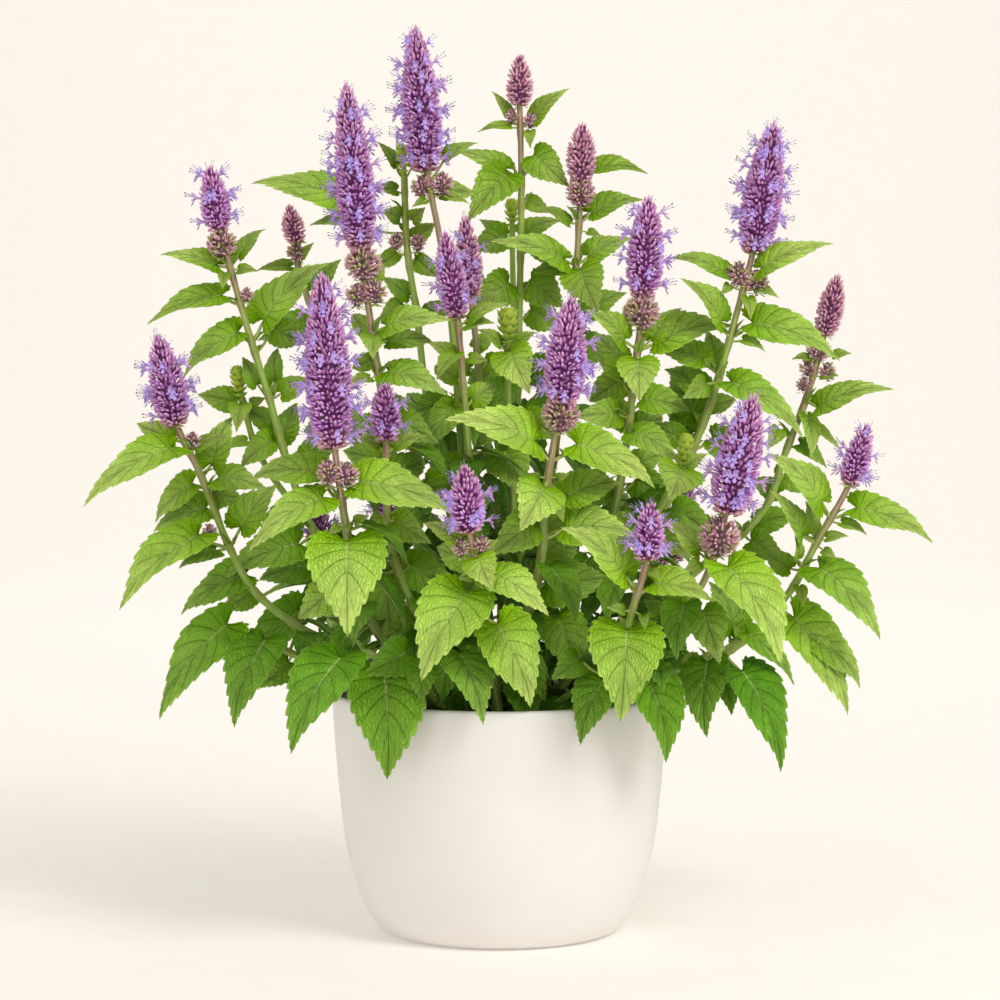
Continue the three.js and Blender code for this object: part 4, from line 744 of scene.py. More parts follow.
class Tree:
    """A material's nodes. Each call makes a node, fills its sockets and gives back its output."""

    def __init__(self, name):
        self.material = bpy.data.materials.new(name)
        self.material.use_nodes = True
        self.nodes = self.material.node_tree.nodes
        self.links = self.material.node_tree.links
        self.shader = self.nodes["Principled BSDF"]
        self.output = self.nodes["Material Output"]

    def fill(self, node, inputs):
        for key, value in inputs.items():
            if isinstance(value, bpy.types.NodeSocket):
                self.links.new(value, node.inputs[key])
            else:
                node.inputs[key].default_value = value

    def node(self, kind, inputs=None, **settings):
        made = self.nodes.new("ShaderNode" + kind)
        for key, value in settings.items():
            setattr(made, key, value)
        self.fill(made, inputs or {})
        return made

    def note(self, name):
        """The three numbers that the mesh keeps under a name."""
        found = self.node("Attribute", attribute_name=name)
        return self.node("SeparateXYZ", {0: found.outputs["Vector"]}).outputs

    def sum(self, how, a, b=0.0):
        return self.node("Math", {0: a, 1: b}, operation=how).outputs[0]

    def times(self, a, b):
        return self.sum("MULTIPLY", a, b)

    def plus(self, a, b):
        return self.sum("ADD", a, b)

    def mix(self, share, a, b, how="MIX"):
        made = self.node("Mix", {0: share, 6: a, 7: b}, data_type="RGBA", blend_type=how)
        return made.outputs[2]

    def ramp(self, value, low, high, start=0.0, end=1.0):
        """start below low, end above high, and smooth between them."""
        inputs = {0: value, 1: low, 2: high, 3: start, 4: end}
        return self.node("MapRange", inputs, interpolation_type="SMOOTHSTEP").outputs[0]

    def noise(self, scale, detail=3.0, vector=None, rough=0.5):
        inputs = {"Scale": scale, "Detail": detail, "Roughness": rough}
        inputs["Vector"] = vector or self.node("TexCoord").outputs["Object"]
        return self.node("TexNoise", inputs).outputs["Fac"]

    def surface(self, base, rough, shine=0.5):
        self.fill(self.shader, {"Base Color": base, "Roughness": rough, "Specular IOR Level": shine})
        return self.material

    def bump(self, height, strength, distance):
        made = self.node("Bump", {"Height": height, "Strength": strength, "Distance": distance})
        self.fill(self.shader, {"Normal": made.outputs[0]})
        return made.outputs[0]

    def through(self, share, tint, normal=None):
        """Lets a share of the light through, in that colour."""
        inputs = {"Color": tint}
        if normal is not None:
            inputs["Normal"] = normal
        glow = self.node("BsdfTranslucent", inputs)
        both = self.node("MixShader", {0: share, 1: self.shader.outputs[0], 2: glow.outputs[0]})
        self.links.new(both.outputs[0], self.output.inputs["Surface"])


def leaf_green(tree, along, bright, luck):
    """From the dark old green to the bright young green, by a brightness that holds both age and painted
    light and shade, paler towards the tip, in soft patches.
    """
    old = tree.mix(tree.ramp(along, 0.0, 1.0), colour("#4C8E0A"), colour("#6CB026"))
    young = tree.mix(tree.ramp(along, 0.18, 1.0), colour("#A6E000"), colour("#E6FF8C"))
    patches = tree.ramp(tree.noise(70, 2), 0.3, 0.7, 0.86, 1.12)
    base = tree.mix(1.0, tree.mix(bright, old, young), patches, "MULTIPLY")
    return tree.mix(tree.ramp(luck, 0.55, 1.0, 0.0, 0.25), base, colour("#8CB80E"))


def leaf_veins(tree, across, along, vein, luck):
    """From 0 to 1, how much of a side vein, of the rib and of the net between them lies at each place."""
    out = tree.sum("ABSOLUTE", across)
    # The side veins run at whole vein numbers, and thin out towards the edge and the tip
    line = tree.ramp(tree.sum("PINGPONG", vein, 0.5), 0.01, 0.065, 1.0, 0.0)
    line = tree.times(line, tree.ramp(out, 0.75, 1.0, 1.0, 0.3))
    line = tree.times(line, tree.ramp(along, 0.7, 0.95, 1.0, 0.0))
    rib = tree.ramp(out, 0.022, 0.06, 1.0, 0.0)
    # The fine veins between them lie like the rungs of a ladder
    rungs = {0: tree.times(across, 8.0), 1: tree.times(vein, 1.5), 2: tree.times(luck, 40.0)}
    place = tree.node("CombineXYZ", rungs).outputs[0]
    cells = tree.node("TexVoronoi", {"Vector": place, "Scale": 1.5}, feature="DISTANCE_TO_EDGE")
    net = tree.ramp(cells.outputs["Distance"], 0.0, 0.2, 1.0, 0.0)
    net = tree.times(net, tree.ramp(along, 0.75, 1.0, 1.0, 0.3))
    return out, line, rib, net


def leaf_material():
    """part: across, along, number of the side vein. tint: bright from dark, under side, luck."""
    tree = Tree("leaf")
    across, along, vein = tree.note("part")[:3]
    bright, under, luck = tree.note("tint")[:3]
    base = leaf_green(tree, along, bright, luck)
    out, line, rib, net = leaf_veins(tree, across, along, vein, luck)
    # The side veins and the net between them are darkened: painted shade in their grooves
    vein_groove_shade = tree.mix(1.0, base, colour("#8CAA40"), "MULTIPLY")
    base = tree.mix(tree.times(net, 0.2), base, vein_groove_shade)
    base = tree.mix(tree.times(line, 0.42), base, vein_groove_shade)
    pale = tree.mix(0.55, base, colour("#E4F2A0"))
    base = tree.mix(tree.times(rib, 0.9), base, pale)
    # A pale rim along the edge: partly the edge's own colour, partly painted highlight on the lit edge
    base = tree.mix(tree.ramp(out, 0.94, 1.0, 0.0, 0.4), base, pale)
    base = tree.mix(under, base, tree.mix(0.4, base, colour("#B4CC7C")))
    height = tree.plus(tree.times(line, -1.0), tree.times(net, -0.7))
    height = tree.plus(height, tree.times(rib, -0.7))
    height = tree.plus(height, tree.times(tree.noise(900, 2), 0.12))
    normal = tree.bump(height, 0.9, 0.0009)
    rough = tree.ramp(tree.noise(180, 2), 0.3, 0.7, 0.46, 0.6)
    tree.through(0.15, tree.mix(0.6, base, colour("#B4F010")), normal)
    return tree.surface(base, rough, 0.1)


def stem_material():
    """part: along the stem, angle about it, nearness to a joint. tint: brownness, brightness, luck."""
    tree = Tree("stem")
    _, angle, joint = tree.note("part")[:3]
    brown, bright, _ = tree.note("tint")[:3]
    green = tree.mix(bright, colour("#5E8A24"), colour("#96B83C"))
    base = tree.mix(brown, green, colour("#A27C6E"))
    drawn_out = {"Vector": tree.node("TexCoord").outputs["Object"], "Scale": (1.0, 1.0, 0.12)}
    streaks = tree.noise(260, 3, tree.node("Mapping", drawn_out).outputs[0])
    base = tree.mix(tree.ramp(streaks, 0.35, 0.7, 0.0, 0.35), base, colour("#B5C478"))
    corner = tree.sum("PINGPONG", tree.sum("DIVIDE", angle, math.pi / 2), 0.5)
    ridge = tree.ramp(corner, 0.0, 0.22, 1.0, 0.0)
    base = tree.mix(tree.times(ridge, 0.32), base, colour("#D9D6A4"))
    base = tree.mix(tree.times(joint, 0.4), base, colour("#8A7A50"))
    fine = tree.noise(1500, 2)
    tree.bump(tree.plus(streaks, tree.times(fine, 0.4)), 0.35, 0.0004)
    return tree.surface(base, 0.55, 0.35)


def calyx_material():
    """part: up the calyx, inside its mouth. tint: mauve from green, age from young, luck."""
    tree = Tree("calyx")
    up, inside, _ = tree.note("part")[:3]
    mauve, age, luck = tree.note("tint")[:3]
    # The tips are pale pink: partly their own colour, partly painted highlight
    tips = tree.mix(luck, colour("#FFD0FA"), colour("#F0BEFF"))
    tips = tree.mix(age, colour("#FFCCCE"), tips)
    body = tree.mix(age, colour("#E2A88E"), colour("#DA6AE0"))
    # Each calyx darkens towards its root: painted shade in the gaps between the crowded calyces
    root = tree.mix(age, colour("#9A8252"), colour("#7E2C84"))
    purple = tree.mix(tree.ramp(up, 0.4, 0.85), body, tips)
    purple = tree.mix(tree.ramp(up, 0.12, 0.5), root, purple)
    green = tree.mix(tree.ramp(up, 0.1, 1.0), colour("#8DB41C"), colour("#CDE45C"))
    base = tree.mix(mauve, green, purple)
    ribs = tree.noise(1700, 2)
    frosted = tree.times(mauve, tree.ramp(ribs, 0.4, 0.75, 0.0, 0.22))
    base = tree.mix(frosted, base, colour("#FBD8FF"))
    # Inside its mouth a calyx darkens: painted shade in the hollow
    dark = tree.mix(mauve, colour("#7C8B2E"), colour("#8A3A7C"))
    base = tree.mix(tree.times(inside, 0.7), base, dark)
    tree.bump(ribs, 0.5, 0.0003)
    tree.fill(tree.shader, {"Sheen Weight": 0.1})
    tree.through(0.2, base)
    return tree.surface(base, 0.62, 0.2)


def corolla_material():
    """part: out along the flower. tint: two numbers that only the calyces need, and luck."""
    tree = Tree("corolla")
    out, luck = tree.note("part")[0], tree.note("tint")[2]
    petal = tree.mix(luck, colour("#CCB2FF"), colour("#FFCEFF"))
    base = tree.mix(tree.ramp(out, 0.0, 0.7), colour("#EED8FF"), petal)
    grain = tree.noise(1400, 2)
    base = tree.mix(tree.ramp(grain, 0.4, 0.75, 0.0, 0.3), base, colour("#E9E2FF"))
    tree.bump(grain, 0.3, 0.0002)
    tree.through(0.2, base)
    return tree.surface(base, 0.55, 0.2)


def stamen_material():
    """part: 1 on the anther at the end, 0 on the thread."""
    tree = Tree("stamen")
    thread = tree.mix(tree.noise(800, 1), colour("#C9B2E2"), colour("#A48CC8"))
    base = tree.mix(tree.note("part")[0], thread, colour("#3B3558"))
    return tree.surface(base, 0.5)


def core_material():
    """tint: mauve from green."""
    tree = Tree("core")
    # The core's dark mauve is painted shade in the gaps between the calyces
    base = tree.mix(tree.noise(500, 3), colour("#521C4C"), colour("#8C4084"))
    base = tree.mix(tree.note("tint")[0], colour("#7C9A30"), base)
    tree.bump(tree.noise(900, 3), 0.6, 0.0005)
    return tree.surface(base, 0.8)


def pot_material():
    tree = Tree("pot")
    cloud = tree.noise(9, 3)
    base = tree.mix(tree.ramp(cloud, 0.3, 0.7), colour("#EDE9E4"), colour("#F1EEEA"))
    speck = tree.ramp(tree.noise(900, 2), 0.62, 0.78, 0.0, 0.12)
    base = tree.mix(speck, base, colour("#D8D0C4"))
    fine = tree.plus(tree.noise(1300, 3), tree.times(cloud, 2.0))
    tree.bump(fine, 0.12, 0.0003)
    rough = tree.ramp(tree.noise(40, 3), 0.3, 0.7, 0.38, 0.48)
    return tree.surface(base, rough, 0.45)


def soil_material():
    tree = Tree("soil")
    lumps = tree.noise(260, 5, rough=0.65)
    base = tree.mix(tree.ramp(lumps, 0.3, 0.7), colour("#17100B"), colour("#4A3626"))
    fibre = tree.ramp(tree.noise(700, 3), 0.62, 0.72, 0.0, 0.7)
    base = tree.mix(fibre, base, colour("#8A6A48"))
    tree.bump(lumps, 0.9, 0.002)
    return tree.surface(base, 0.95, 0.2)


def floor_material():
    tree = Tree("studio_paper")
    grain = tree.ramp(tree.noise(30, 3), 0.3, 0.7)
    base = tree.mix(grain, colour("#E9E5DF"), colour("#EAE7E1"))
    tree.fill(tree.shader, {"Emission Color": base, "Emission Strength": 0.26})
    return tree.surface(base, 0.9, 0.1)


# Stems

def stem_line(stem, bow):
    """The line that a stem follows from the bottom of its hole, as even points."""
    foot_x, foot_y = stem["foot"]
    high = stem["course"][-1][1]
    points = [np.array([foot_x, foot_y, SOIL_TOP + 3.0])]
    for across, up in stem["course"]:
        share = (up - SOIL_TOP) / (high - SOIL_TOP)
        lean = (stem["depth"] - foot_y) * math.sin(share * math.pi / 2)
        points.append(sight(across, up, foot_y + lean + bow * math.sin(share * math.pi)))
    head = stem.get("spike") or stem.get("bud")
    if head:
        base_x, base_z, tip_x, tip_z = head[:4]
        across, up = between((base_x, tip_x), HEAD_ROOT), between((base_z, tip_z), HEAD_ROOT)
        points.append(sight(across, up, stem["depth"]))
    return rooted(points)


def rooted(points):
    """A smooth even line through the points, with a straight foot down into its hole."""
    smooth = curve_through(points, np.linspace(0, 1, CURVE_POINTS))
    foot = points[0] - [0, 0, HOLE_DEPTH + 2]
    return evenly(np.vstack([foot, smooth]), LINE_POINTS)


def back_stems():
    """The stems behind, from a small random series of their own."""
    seed = SEED
    stems = []
    for i in range(BACK_COUNT):
        draws = []
        for _ in range(3):
            seed = (seed * 16807) % 2147483647
            draws.append(seed / 2147483647)
        heading = math.radians(between(BACK_DEGREES, i / (BACK_COUNT - 1)))
        stems.append({
            "name": f"{len(STEMS) + 1 + i:02d}",
            "heading": heading,
            "foot": [BACK_FOOT_RADIUS * math.cos(heading), BACK_FOOT_RADIUS * math.sin(heading)],
            "reach": between(BACK_REACH, i % 2) * (0.94 + 0.12 * draws[0]),
            "height": between(BACK_HEIGHT, draws[1]),
            "spike_length": between(BACK_SPIKE_LENGTH, draws[2]),
            "bloom": BACK_BLOOM,
        })
    return stems


def back_line(stem, bow):
    out = flat_way(stem["heading"])
    sideways = np.array([-out[1], out[0], 0])
    span = stem["height"] - SOIL_TOP

    def at(reach, height, sway):
        return out * reach + sideways * sway + [0, 0, height]

    return rooted([
        np.array([*stem["foot"], SOIL_TOP + 3.0]),
        at(between((BACK_FOOT_RADIUS, stem["reach"]), 0.55), SOIL_TOP + span * 0.3, bow * 0.6),
        at(between((BACK_FOOT_RADIUS, stem["reach"]), 0.85), SOIL_TOP + span * 0.62, bow),
        at(stem["reach"], stem["height"], bow * 0.5),
    ])


def frame_points(*names):
    """The corners of some of the frame's nodes, in millimetres."""
    found = []
    for name in names:
        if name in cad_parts:
            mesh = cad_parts[name].data
            co = np.zeros(len(mesh.vertices) * 3, np.float32)
            mesh.vertices.foreach_get("co", co)
            found.append(co.reshape(-1, 3).astype(float) / MM)
    return np.concatenate(found)


def gap_to(points, places):
    """The distance from each place to the nearest of the points."""
    return np.linalg.norm(points[None] - np.atleast_2d(places)[:, None], axis=2).min(axis=1)


def settled_line(stem, corners):
    """The bowed line that the frame's stem follows: the one with the most of its corners close by."""
    trace = stem_line if "course" in stem else back_line
    lines = [trace(stem, bow) for bow in STEM_BOWS]
    close = [(gap_to(line, corners) < STEM_FOOT_RADIUS + 1).sum() for line in lines]
    return lines[int(np.argmax(close))]


def share_at(line, up):
    """The share of a line at which it is as high as `up`, seen from in front."""
    seen = EYE_HEIGHT + (line[:, 2] - EYE_HEIGHT) / (1 + line[:, 1] / EYE_DISTANCE)
    above = np.argmax(seen >= up) if (seen >= up).any() else len(line) - 1
    return above / (len(line) - 1)


def point_at(line, share):
    place = share * (len(line) - 1)
    low = min(int(place), len(line) - 2)
    return line[low] + (line[low + 1] - line[low]) * (place - low)


def way_at(line, share):
    low = min(int(share * (len(line) - 1)), len(line) - 2)
    return unit(line[low + 1] - line[low])


def square(angles):
    """A square stem with rounded corners and a shallow groove down each face."""
    return 0.72 + 0.28 * np.abs(np.cos(2 * angles)) ** 1.4


def dress_stem(skin, line, joints, split, headless):
    """A grooved square stem that swells at its joints and turns brown above the split."""
    length = np.linalg.norm(np.diff(line, axis=0), axis=1).sum()
    count = max(8, round(length / STEM_STEP))
    centres = evenly(line, count)
    shares = np.linspace(0, 1, count)
    near = np.zeros(count)
    for joint in joints:
        near = np.maximum(near, np.exp(-(((shares - joint) * length / JOINT_REACH) ** 2)))
    radii = between((STEM_FOOT_RADIUS, STEM_TOP_RADIUS), shares) * (1 + JOINT_SWELL * near)
    radii[-1] *= 0.2 if headless else 1
    points, faces, along, about = tube(centres, radii, STEM_SIDES, square)
    swell = np.concatenate([np.repeat(near, STEM_SIDES), [0, 0]])
    brown = np.clip((along - split + BROWNING[0]) / BROWNING[1], 0, 1)
    luck = chance.random()
    tint = np.stack([brown, np.clip(along * 0.9 + 0.1, 0, 1), np.full(len(along), luck)], axis=1)
    skin.add(points, faces, np.stack([along, about, swell], axis=1), tint, STEM_KIND)


# Leaves

class Leaf:
    """One leaf: its joint on the stem, its blade's base, tip and width, and the way that the blade faces."""

    def __init__(self, joint, base, tip, width, normal):
        self.joint, self.base, self.tip, self.width = joint, base, tip, width
        self.length = np.linalg.norm(tip - base)
        self.ahead = (tip - base) / self.length
        self.normal = normal
        self.side = np.cross(normal, self.ahead)

    def place(self, along, across, up):
        """Points at shares of the length, and at millimetres across and up."""
        along, across, up = np.broadcast_arrays(along, across, up)
        return (
            self.base
            + along[..., None] * self.length * self.ahead
            + across[..., None] * self.side
            + up[..., None] * self.normal
        )

    def samples(self):
        """Nine places spread over the blade."""
        along, across = np.meshgrid([0.1, 0.45, 0.9], [-0.36, 0, 0.36])
        arch = LEAF_ARCH * self.length * 4 * along * (1 - along)
        return self.place(along, across * self.width * (1.1 - along), arch).reshape(-1, 3)

    def moved(self, step):
        return Leaf(self.joint, self.base + step, self.tip + step, self.width, self.normal)


def leaf_depth(row, seen_length):
    """How far a tip lies behind its joint. A blade seen short leans forward, and of a pair one each way."""
    full = LEAF_ASPECT * row[5]
    if seen_length < full:
        return -math.sqrt(full * full - seen_length * seen_length)
    return math.copysign(1, row[3] - row[1]) * PAIR_LEAN * seen_length * math.sin(row[0])


def seen_leaf(row, joint, shift=0.0, base_share=1.0, size=1.0):
    """A leaf from its row in the table, moved in depth by `shift` and shrunk to `size`."""
    base_x, base_z, tip_x, tip_z, seen_width = row[1:6]
    seen_length = math.hypot(tip_x - base_x, tip_z - base_z)
    lean = row[6] if len(row) > 6 else leaf_depth(row, seen_length)
    base = sight(base_x, base_z, joint[1] + lean * 0.3 + shift * base_share)
    tip = sight(tip_x, tip_z, joint[1] + lean + shift)
    tip = tip + (base - tip) * (1 - size)
    ahead = unit(tip - base)
    full = min(seen_length / LEAF_ASPECT, seen_width * LEAF_ASPECT)
    width = max(full, seen_width) * size
    to_eye = unit(np.array([0, -1.0, 0]) + ahead * ahead[1])
    upward = np.cross(ahead, to_eye)
    upward = -upward if upward[2] < 0 else upward
    roll = math.acos(min(1, seen_width * size / width))
    return Leaf(joint, base, tip, width, to_eye * math.cos(roll) + upward * math.sin(roll))


def outward_leaf(joint, heading, foot, length, slope, slim=1.0):
    """A leaf that points outward at its heading, and rises by slope for each step out."""
    out = flat_way(heading)
    reach, lift = foot
    base = joint + out * reach + [0, 0, lift]
    ahead = unit(out + [0, 0, slope])
    normal = unit(UP - ahead * ahead[2])
    return Leaf(joint, base, base + ahead * length, length / LEAF_ASPECT / slim, normal)


def back_leaf(joint, heading, length, shift=0.0, size=1.0):
    """A drooping leaf of a stem behind, lifted by shift."""
    return outward_leaf(joint, heading, (9 + length * 0.08, 5), length * size, -0.35 + shift / 60)


def settled_leaf(choices, corners):
    """The choice whose tip and base the frame's corners show, moved to lie right on its tip."""
    best, least = choices[0], math.inf
    tips = gap_to(corners, np.array([leaf.tip for leaf in choices]))
    for leaf, gap in zip(choices, tips):
        if gap < MATCH:
            rear = leaf.place(-0.03, 0, 0.75 - LEAF_ARCH * leaf.length * 0.124)
            score = gap + min(MATCH, gap_to(corners, rear)[0])
            if score < least:
                best, least = leaf, score
    nearest = corners[np.argmin(np.linalg.norm(corners - best.tip, axis=1))]
    return best.moved(np.array([0, nearest[1] - best.tip[1], 0]))


def toothed_edge(q, teeth):
    """Along and across of the blade's edge, with rounded teeth that point to the tip."""
    along, across, _ = curve_through(BLADE, q).T
    half = 0.5 / LEAF_ASPECT
    step = curve_through(BLADE, q + 0.01) - curve_through(BLADE, q - 0.01)
    way = unit(np.stack([step[:, 0], step[:, 1] * half], axis=1))
    out = np.stack([-way[:, 1], way[:, 0]], axis=1)
    place = np.clip((q - TEETH_FROM) / (TEETH_TO - TEETH_FROM), 0, 1) * teeth
    bite = np.sin(math.pi * (place % 1) ** 1.6) ** 0.75
    bite[(q <= TEETH_FROM) | (q >= TEETH_TO)] = 0
    depth = TOOTH_DEPTH * np.clip(np.sin(math.pi * q) * 1.5, 0, 1)
    shift = (out * (bite - 0.35)[:, None] + way * 0.75 * bite[:, None]) * depth[:, None]
    return along + shift[:, 0], across + shift[:, 1] / half


class Blade:
    """The shared form of all blades of one fineness: two sides that meet in a toothed edge."""

    def __init__(self, teeth, rows_per_tooth, columns):
        first = np.linspace(0, TEETH_FROM, 3)[:-1]
        toothed = np.linspace(TEETH_FROM, TEETH_TO, teeth * rows_per_tooth + 1)
        last = np.linspace(TEETH_TO, 1, 3)[1:-1]
        rows = np.concatenate([first, toothed, last])
        out = np.array([-c for c in columns[:0:-1]] + list(columns))
        q, t = np.meshgrid(rows, out, indexing="ij")
        upper = np.arange(q.size).reshape(q.shape)
        inner = upper[1:, 1:-1]
        lower = upper.copy()
        lower[1:, 1:-1] = q.size + 1 + np.arange(inner.size).reshape(inner.shape)
        self.faces = self.two_sides(upper, lower, q.size)
        self.under = np.concatenate([np.zeros(q.size + 1), np.ones(inner.size)])
        self.inside = np.concatenate([np.isin(upper, inner).ravel(), [False], np.ones(inner.size, bool)])
        self.q = np.concatenate([q.ravel(), [1.0], q[1:, 1:-1].ravel()])
        self.t = np.concatenate([t.ravel(), [0.0], t[1:, 1:-1].ravel()])
        self.shape(teeth)

    def two_sides(self, upper, lower, tip):
        faces = []
        for grid, order in ((upper, (0, 1, 2, 3)), (lower, (3, 2, 1, 0))):
            corners = [grid[:-1, :-1], grid[1:, :-1], grid[1:, 1:], grid[:-1, 1:]]
            faces.append(np.stack([corners[i].ravel() for i in order], axis=1))
        ends = np.full(upper.shape[1] - 1, tip)
        top = np.stack([upper[-1, :-1], ends, upper[-1, 1:]], axis=1)
        low = np.stack([lower[-1, 1:], ends, lower[-1, :-1]], axis=1)
        return [*faces, np.concatenate([top, low])]

    def shape(self, teeth):
        """Places along and across, as shares of the length and of the half width, and the quilting."""
        self.out = np.abs(self.t)
        edge_along, edge_across = toothed_edge(self.q, teeth)
        plain_along, plain_across, on_rib = curve_through(BLADE, self.q).T
        rim = self.out**4
        edge_along = plain_along + (edge_along - plain_along) * rim
        edge_across = plain_across + (edge_across - plain_across) * rim
        self.along = on_rib + (edge_along - on_rib) * (0.35 * self.out + 0.65 * self.out**2)
        self.across = np.sign(self.t) * edge_across * self.out
        self.vein = self.q * VEINS + 0.5
        self.quilt = np.sin(math.pi * (self.vein % 1.0)) ** 0.7 * np.sin(math.pi * self.out**0.8)


BLADES = [(least, Blade(teeth, rows, columns)) for least, teeth, rows, columns in FINENESS]


def dress_leaf(skin, leaf, bright, luck, fine=1.0):
    """A toothed, veined and quilted blade, and the petiole that runs on under it as its rib."""
    blade = next(made for least, made in BLADES if leaf.width * fine >= least)
    along, out = blade.along, blade.out
    across = blade.across * leaf.width / 2
    fold = between(FOLD, luck)
    wave = np.sin(2 * math.pi * (2.2 * blade.q + luck)) * out**2 * np.sin(math.pi * blade.q)
    curl = -between(TIP_CURL, (luck * 7) % 1) * np.clip(along - 0.6, 0, 1) ** 2 * 6
    relief = LEAF_ARCH * 4 * along * (1 - along) + QUILT_DEPTH * blade.quilt
    relief = relief + WAVE_DEPTH * wave + curl * 0.35
    relief = relief * leaf.length + fold * np.abs(across)
    relief -= RIB_DEPTH * np.exp(-((out / 0.06) ** 2)) * (blade.q < 0.95)
    thick = np.where(blade.inside, LEAF_THICKNESS / 2, 0) * np.where(blade.under > 0, -1, 1)
    points = leaf.place(along, across, relief + thick)
    tint = np.stack([np.full(len(out), bright), blade.under, np.full(len(out), luck)], axis=1)
    skin.add(points, blade.faces, np.stack([blade.t, blade.q, blade.vein], axis=1), tint, LEAF_KIND)
    dress_petiole(skin, leaf, bright)


def dress_petiole(skin, leaf, bright):
    """The stalk of a leaf and its rib, as one tapering tube that sinks under the blade."""
    fine = leaf.width >= 12
    radius = PETIOLE_RADIUS * min(1.0, 0.45 + leaf.width / 50)
    way = leaf.base - leaf.joint
    sag = 0.08 * np.linalg.norm(way)
    shares = np.linspace(0, 1, 5 if fine else 3)[:-1]
    stalk = leaf.joint + shares[:, None] * way - [0, 0, 1] * (sag * np.sin(math.pi * shares))[:, None]
    along = np.linspace(0.0, 0.86, 7 if fine else 3)
    radii = radius * (1 - 0.8 * along)
    arch = LEAF_ARCH * leaf.length * 4 * along * (1 - along)
    rib = leaf.place(along, 0, arch - radii - 0.15)
    sizes = np.concatenate([radius * between((1.25, 1.0), shares), radii])
    points, faces, share, about = tube(np.vstack([stalk, rib]), sizes, 6 if fine else 4)
    # The stalk takes the brightness of its leaf, painted light included
    tint = np.tile([0.12, 0.35 + 0.65 * bright, 0.5], (len(points), 1))
    part = np.stack([share, about, np.zeros(len(points))], axis=1)
    skin.add(points, faces, part, tint, STEM_KIND)


# Flowers

def ring_points(radius, height, turn=0.0):
    """The corners of one ring of a calyx."""
    return [(radius * math.cos(a), radius * math.sin(a), height) for a in even_turns(CALYX_SIDES) + turn]


def calyx_shell(points, faces, mouth=None):
    """A calyx as a template: its height as the first number of its part, and its mouth as the second."""
    points = np.array(points, float)
    part = np.zeros((len(points), 3))
    part[:, 0] = points[:, 2]
    if mouth:
        part[mouth, 1] = 1
    return points, [np.array(faces)], part


def calyx_template():
    """A closed tube that is widest at its middle and ends in five teeth, 1 long and pointing to +Z."""
    notches = ring_points(0.18, 0.62, math.pi / CALYX_SIDES)
    points = [(0, 0, 0), *ring_points(0.14, 1.06), *notches, (0, 0, 0.74)]
    mouth = 1 + 2 * CALYX_SIDES
    faces = []
    for k in range(CALYX_SIDES):
        tooth, next_tooth, notch = 1 + k, 1 + (k + 1) % CALYX_SIDES, 1 + CALYX_SIDES + k
        faces += [(0, notch, tooth), (0, next_tooth, notch)]
        faces += [(tooth, notch, mouth), (notch, next_tooth, mouth)]
    return calyx_shell(points, faces, mouth)


def shut_template():
    """A calyx that is still shut: a slim pointed bud, 1 long and pointing to +Z."""
    points = [(0, 0, 0), *ring_points(0.17, 0.52), *ring_points(0.11, 0.84), (0, 0, 1.1)]
    top = 1 + 2 * CALYX_SIDES
    faces = []
    for k in range(CALYX_SIDES):
        low, low_after = 1 + k, 1 + (k + 1) % CALYX_SIDES
        high, high_after = low + CALYX_SIDES, low_after + CALYX_SIDES
        faces += [(0, low_after, low), (low, low_after, high_after), (low, high_after, high)]
        faces += [(high, high_after, top)]
    return calyx_shell(points, faces)


def petal(base, tip, width, thick):
    """A small pointed petal with two faces, as points and triangles."""
    base, tip = np.array(base, float), np.array(tip, float)
    ahead = unit(tip - base)
    side = unit(np.cross(ahead, [0, 0.3, 1]) if abs(ahead[0]) < 0.9 else np.cross(ahead, [0, 0, 1]))
    normal = np.cross(side, ahead)
    middle = base + (tip - base) * 0.68
    points = [
        base, middle + side * width / 2, tip, middle - side * width / 2,
        middle + normal * thick, middle - normal * thick,
    ]
    faces = [(0, 1, 4), (1, 2, 4), (2, 3, 4), (3, 0, 4), (1, 0, 5), (2, 1, 5), (3, 2, 5), (0, 3, 5)]
    return np.array(points), np.array(faces)


def joined(shells):
    """Several shells as one template, with the share of the way out as their part."""
    points, faces, part, count = [], [], [], 0
    for shell, (start, end) in shells:
        corners, triangles = shell
        points.append(corners)
        faces.append(triangles + count)
        reach = np.linalg.norm(corners - corners[0], axis=1)
        share = start + (end - start) * reach / max(reach.max(), 1e-6)
        part.append(np.stack([share, share * 0, share * 0], axis=1))
        count += len(corners)
    return np.concatenate(points), [np.concatenate(faces)], np.concatenate(part)


def triangles(faces):
    """The faces of a tube as triangles alone."""
    quads, fans = faces
    return np.concatenate([quads[:, [0, 1, 2]], quads[:, [0, 2, 3]], fans])


def trumpet(length, low, high):
    line = [[0, 0, -1.5], [0, 0, length * 0.5], [0, 0.15, length]]
    points, faces, _, _ = tube(line, [low, low, high], CALYX_SIDES)
    return points, triangles(faces)


def corolla_template():
    """A two-lipped flower: its tube, an upright upper lip and a hanging lower lip of three lobes."""
    return joined([
        (trumpet(4.6, 0.6, 1.7), (0.0, 0.5)),
        (petal((0, 0.7, 3.4), (0, 2.7, 6.8), 2.8, 0.5), (0.3, 1.0)),
        (petal((0, -0.8, 3.6), (0, -5.4, 5.8), 2.8, 0.5), (0.3, 1.0)),
        (petal((-0.7, -0.4, 3.8), (-2.7, -2.2, 5.8), 1.9, 0.4), (0.3, 1.0)),
        (petal((0.7, -0.4, 3.8), (2.7, -2.2, 5.8), 1.9, 0.4), (0.3, 1.0)),
    ])


def knob(place, radius):
    """An anther as a small closed body of eight triangles."""
    tips = np.array([[1, 0, 0], [-1, 0, 0], [0, 1, 0], [0, -1, 0], [0, 0, 1], [0, 0, -1.0]])
    faces = [(0, 2, 4), (2, 1, 4), (1, 3, 4), (3, 0, 4), (2, 0, 5), (1, 2, 5), (3, 1, 5), (0, 3, 5)]
    return tips * radius + place, np.array(faces)


